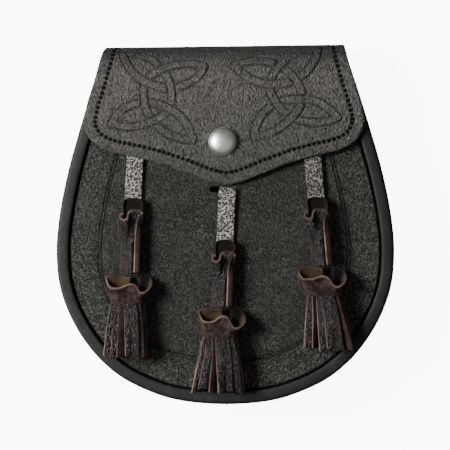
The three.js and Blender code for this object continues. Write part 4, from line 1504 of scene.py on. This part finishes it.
def make_roll(name, tassel):
    """The rolled length over the strap: a back layer, and in front of it a sheet curled like an S."""
    _, (_, head_y) = tassel_line(tassel)
    length = tassel["roll"] * ROLL_LENGTH
    low = head_y + CLEARANCE
    lift = FLAP_LIFT

    def levels_of(count, drop, turn):
        return [
            dict(
                y=low + (length + ROLL_RISE - drop) * (1 - share),
                width=ROLL_WIDTH * (1 - ROLL_WAIST * step_between(share, 0.1, 0.4)),
                depth=ROLL_DEPTH,
                lift=lift,
                turn=math.radians(turn) * math.sin(math.pi * min(share * 1.4, 1)),
                change=step_between(share, 0.06, 0.5),
            )
            for share in np.linspace(0, 1, count)
        ]

    def swing(points, row):
        points[:, 2] += 0.15 * ripple(points[:, 0] * 2, points[:, 1], 3, tassel["seed"] + 60)
        points[:, 0] += 0.25 * ripple(points[:, 1], points[:, 2], 5, tassel["seed"] + 61)
        return points

    back = curled_sheet(
        f"{name}_back", tassel, [ROLL_BACK, ROLL_BACK_FOOT], 22, levels_of(46, 0, 0),
        (strap_flesh, head_edge, flesh_side), swing)
    curl = curled_sheet(
        name, tassel, [ROLL_CURL, ROLL_FOOT], 60, levels_of(60, ROLL_CURL_DROP, ROLL_CURL_TURN),
        (flesh_side, cut_edge, tassel_grain), swing)
    for sheet, wall in ((back, ROLL_BACK_WALL), (curl, ROLL_CURL_WALL)):
        thicken(sheet, wall, cut_edges=True)
        soften_edges(sheet, 0.22)
    points = read_points(back)
    top = np.clip((points[:, 1] - low - length - ROLL_RISE + 6) / 6, 0, 1)
    aside = (points[:, 0] - tassel_x(tassel, points[:, 1])) / (ROLL_WIDTH / 2)
    # Painted shadow: near black across the top, where the curl and the strap shade it, and nearer its own
    # colour lower down
    mark(back, "shade_and_tone", -0.85 + 1.05 * np.clip((low + length - 8 - points[:, 1]) / 10, 0, 1))
    points[:, 0] -= 0.9 * top**2 * aside
    points[:, 1] -= 1.5 * top * aside**2
    write_points(back, points)
    # Painted shade where the curl lies deep; it is also darker towards its top and lighter lower down
    points, shade_and_tone = depth_shade(curl, lift, ROLL_DEPTH)
    down = np.clip((low + length - points[:, 1]) / length, 0, 1)
    mark(curl, "shade_and_tone", shade_and_tone - 0.5 + 1.9 * np.clip((down - 0.4) / 0.4, 0, 1))
    cut_slanting(curl, low + length + ROLL_RISE - ROLL_CURL_DROP, 0.8 * length, 1.25, lift)
    roll = joined([curl, back], name)
    smooth_shaded(roll)
    return roll


def make_head(name, tassel):
    """The folded collar over the fringe's top, its rim slanting down towards the front."""
    _, (_, head_y) = tassel_line(tassel)
    rows = 33
    levels = []
    for share in np.linspace(0, 1, rows + 1):
        pinch = 1 - 0.07 * math.exp(-(((share - 0.86) / 0.1) ** 2))
        levels.append(dict(
            y=head_y - (HEAD_LOW + HEAD_OVERLAP) * share,
            width=1.03 * HEAD_WIDTH * (1 + (HEAD_FOOT - 1) * share ** 0.8) * pinch,
            depth=HEAD_DEPTH * (1 + (HEAD_FOOT_DEPTH - 1) * share),
            lift=HEAD_LIFT,
            change=step_between(share, 0.15, 1),
        ))

    def swing(points, row):
        fade = 1 - row / rows
        creases = ripple(points[:, 0] * 1.5, points[:, 1], 2.6, tassel["seed"] + 72)
        waves = ripple(points[:, 0], points[:, 1], 3.5, tassel["seed"] + 70)
        points[:, 2] += 0.6 * waves * (0.4 + 0.6 * fade)
        points[:, 2] += 0.6 * np.minimum(creases, 0.2)
        points[:, 0] += 0.4 * ripple(points[:, 1], points[:, 0], 3, tassel["seed"] + 73)
        points[:, 1] += 1.0 * ripple(points[:, 0], points[:, 2], 3, tassel["seed"] + 71) * fade
        return points

    head = curled_sheet(
        name, tassel, [HEAD_TOP, HEAD_BASE], 90, levels, (pale_flesh, head_edge, head_suede), swing)
    thicken(head, HEAD_WALL, cut_edges=True)
    points, shade_and_tone = depth_shade(head, HEAD_LIFT, HEAD_DEPTH)
    # Painted shade where the head lies deep and on the inner face of its right part, which lies in shade;
    # the whole head is also a little darker
    right = np.clip((points[:, 0] - tassel_x(tassel, points[:, 1]) - 0.5) / 4, 0, 1)
    within = np.arange(len(points)) < len(points) // 2
    mark(head, "shade_and_tone", shade_and_tone - np.where(within, 0.75 * right - 0.1, 0.1))
    soften_edges(head, 0.25)
    cut_slanting(head, head_y, HEAD_LOW, HEAD_SLANT / HEAD_DEPTH, HEAD_LIFT)
    smooth_shaded(head)
    return head


def make_fringe(name, tassel):
    """A band inside the head's foot, and strips that hang from it in two layers, each turned a little."""
    _, (_, head_y) = tassel_line(tassel)
    draw = random.Random(tassel["seed"])
    top = head_y - HEAD_LOW
    drop = HEAD_HEIGHT + CLEARANCE + FRINGE_LENGTH - FRINGE_TRIM - HEAD_LOW
    width, depth = HEAD_WIDTH * HEAD_FOOT, HEAD_DEPTH * HEAD_FOOT_DEPTH
    sides = (flesh_side, cut_edge, tassel_grain)
    band_levels = [
        dict(y=top - FRINGE_BAND * share, width=width * 0.86, depth=depth * 0.8, lift=HEAD_LIFT + 0.7)
        for share in (0, 0.5, 1)
    ]
    parts = [curled_sheet(name, tassel, [HEAD_BASE], 60, band_levels, sides)]
    thicken(parts[0], BAND_WALL, cut_edges=True)
    inside = [(across * width * 0.8, out * depth * 0.8) for across, out in HEAD_BASE]
    roots = smooth_line(inside, STRIP_COUNT * 2 + 1)[1::2]
    by_depth = sorted(roots, key=lambda root: -root[1])
    layers = [(by_depth[:FRONT_STRIPS], 0.66, 6.6), (by_depth[FRONT_STRIPS:], 0.2, 5.6)]
    for layer, (members, out_share, strip_width) in enumerate(layers):
        members = sorted(members, key=lambda root: root[0])
        for order, root in enumerate(members):
            fan = (order + 0.5) / len(members) - 0.5
            out = out_share * depth * (1.15 if layer == 0 else 1) * (1 - 0.3 * abs(fan))
            foot = np.array([
                fan * tassel["spread"] + draw.uniform(-0.7, 0.7),
                out + draw.uniform(-0.3, 0.3),
            ])
            turn = math.radians((44 if fan < 0.25 else -40) * (0.8 + 0.35 * draw.random()))
            flesh_out = draw.random() < 0.2
            parts.append(fringe_strip(
                f"{name}_{layer}_{order}", tassel, top - 2, root, foot,
                strip_width * draw.uniform(0.88, 1.08), drop * draw.uniform(0.95, 1.03),
                turn, draw, flesh_out,
            ))
    fringe = joined(parts, name)
    smooth_shaded(fringe)
    return fringe


def fringe_strip(name, tassel, top, root, foot, width, length, turn, draw, flesh_out):
    """One cut strip from its root in the band to its foot, turned about its length."""
    rows, columns = 26, 6
    bow, slope, wander = draw.uniform(-0.3, 0.9), draw.uniform(-0.9, 0.9), draw.uniform(-0.5, 0.5)
    share = np.linspace(0, 1, rows + 1)
    settle = share ** 0.8
    middle = root + (foot - root) * settle[:, None]
    middle[:, 1] += bow * np.sin(share * math.pi)
    middle[:, 0] += wander * np.sin(share * math.pi * 1.5)
    angle = turn * (0.6 + 0.4 * share)
    cup = draw.uniform(0.2, 0.6)

    def place(column, row):
        side = column / columns - 0.5
        reach = width * (0.8 + 0.2 * share[row]) * side
        rise = cup * (1 - (2 * side) ** 2)
        x = middle[row, 0] + reach * np.cos(angle[row]) + rise * np.sin(angle[row])
        out = middle[row, 1] - reach * np.sin(angle[row]) + rise * np.cos(angle[row])
        y = top - length * share[row] + slope * side * share[row]
        out = np.maximum(HEAD_LIFT + out, CLEARANCE + 0.7)
        return lay_on_front(np.stack([tassel_x(tassel, y) + x, y, out], axis=1))

    sides = (tassel_grain, cut_edge, flesh_side) if flesh_out else (flesh_side, cut_edge, tassel_grain)
    strip = leather_sheet(name, columns, rows, place, *sides)
    thicken(strip, STRIP_WALL, cut_edges=True)
    mark(strip, "shade_and_tone", np.full(len(strip.data.vertices), draw.uniform(-0.5, 0.0)))
    soften_edges(strip, 0.18)
    return strip


# The assembly

placed(make_front_panel(), "pebbled_leather", "front_panel")
placed(make_back_panel(), "pebbled_leather", "back_panel")
placed(make_gusset(), "smooth_leather", "gusset")
placed(make_binding("front_binding_leather", True), "smooth_leather", "front_binding")
placed(make_binding("back_binding_leather", False), "smooth_leather", "back_binding")
placed(make_flap(), "pebbled_leather", "flap")
placed(make_flap_stitches(), "pebbled_leather")
placed(make_binding_stitches("front_binding_stitching", True), "smooth_leather")
placed(make_binding_stitches("back_binding_stitching", False), "smooth_leather")
placed(make_snap_cap(), "satin_nickel", "snap_cap")
placed(make_snap_stud(), "plain_steel", "snap_stud")
placed(make_keeper(), "smooth_leather", "back_loop")
placed(make_keeper_stitches(), "smooth_leather")
for side, tassel in TASSELS.items():
    placed(make_strap(f"strap_{side}", tassel), "strap_leather", f"tassel_strap_{side}")
    placed(make_roll(f"roll_{side}", tassel), "tassel_leather", f"tassel_roll_{side}")
    placed(make_head(f"head_{side}", tassel), "tassel_leather", f"tassel_head_{side}")
    placed(make_fringe(f"fringe_{side}", tassel), "tassel_leather", f"tassel_fringe_{side}")


# The studio

# The camera's angles are in degrees, and its distance and aim in metres
CAMERA_AZIMUTH = 4.6  # to the pouch's right
CAMERA_RISE = 1.6  # towards its top
CAMERA_ROLL = -0.3
CAMERA_DISTANCE = 0.9
CAMERA_AIM = Vector((0.00015, -0.0004, 0.02))
PIXELS_PER_METRE = 1830
FRAME_PIXELS = 450


def make_camera():
    azimuth, rise = math.radians(CAMERA_AZIMUTH), math.radians(CAMERA_RISE)
    back = Vector((math.sin(azimuth) * math.cos(rise), math.sin(rise), math.cos(azimuth) * math.cos(rise)))
    right = Vector((0, 1, 0)).cross(back).normalized()
    up = back.cross(right)
    roll = math.radians(CAMERA_ROLL)
    right, up = right * math.cos(roll) + up * math.sin(roll), up * math.cos(roll) - right * math.sin(roll)
    data = bpy.data.cameras.new("camera")
    data.sensor_width = 36
    data.lens = data.sensor_width * PIXELS_PER_METRE * CAMERA_DISTANCE / FRAME_PIXELS
    data.clip_start, data.clip_end = 0.05, 20
    camera = bpy.data.objects.new("camera", data)
    bpy.context.collection.objects.link(camera)
    turn = Matrix((right, up, back)).transposed()
    camera.matrix_world = Matrix.Translation(CAMERA_AIM + back * CAMERA_DISTANCE) @ turn.to_4x4()
    bpy.context.scene.camera = camera


def make_light(name, place, size, power):
    data = bpy.data.lights.new(name, "AREA")
    data.shape = "RECTANGLE"
    data.size = data.size_y = size
    data.energy = power
    light = bpy.data.objects.new(name, data)
    bpy.context.collection.objects.link(light)
    light.location = place
    light.rotation_mode = "QUATERNION"
    light.rotation_quaternion = (CAMERA_AIM - Vector(place)).to_track_quat("-Z", "Y")


def make_floor():
    bpy.ops.object.select_all(action="DESELECT")
    bpy.ops.mesh.primitive_plane_add(size=6)
    floor = bpy.context.object
    floor.name = "floor"
    material, _, shader, _ = new_material("pale_floor")
    shader.inputs["Base Color"].default_value = (0.92, 0.92, 0.92, 1)
    shader.inputs["Roughness"].default_value = 0.8
    shader.inputs["Emission Color"].default_value = (1, 1, 1, 1)
    shader.inputs["Emission Strength"].default_value = 9
    floor.data.materials.append(material)
    floor.visible_diffuse = floor.visible_glossy = False


def make_world():
    world = bpy.data.worlds.new("studio")
    bpy.context.scene.world = world
    world.use_nodes = True
    background = world.node_tree.nodes["Background"]
    background.inputs["Color"].default_value = (1, 1, 1, 1)
    background.inputs["Strength"].default_value = 0.16


make_camera()
make_floor()
make_world()
make_light("key", place=(-0.8, 0.18, 0.72), size=0.4, power=29)
make_light("fill", place=(0.4, -0.3, 1.3), size=1.6, power=2)

bpy.context.view_layer.update()
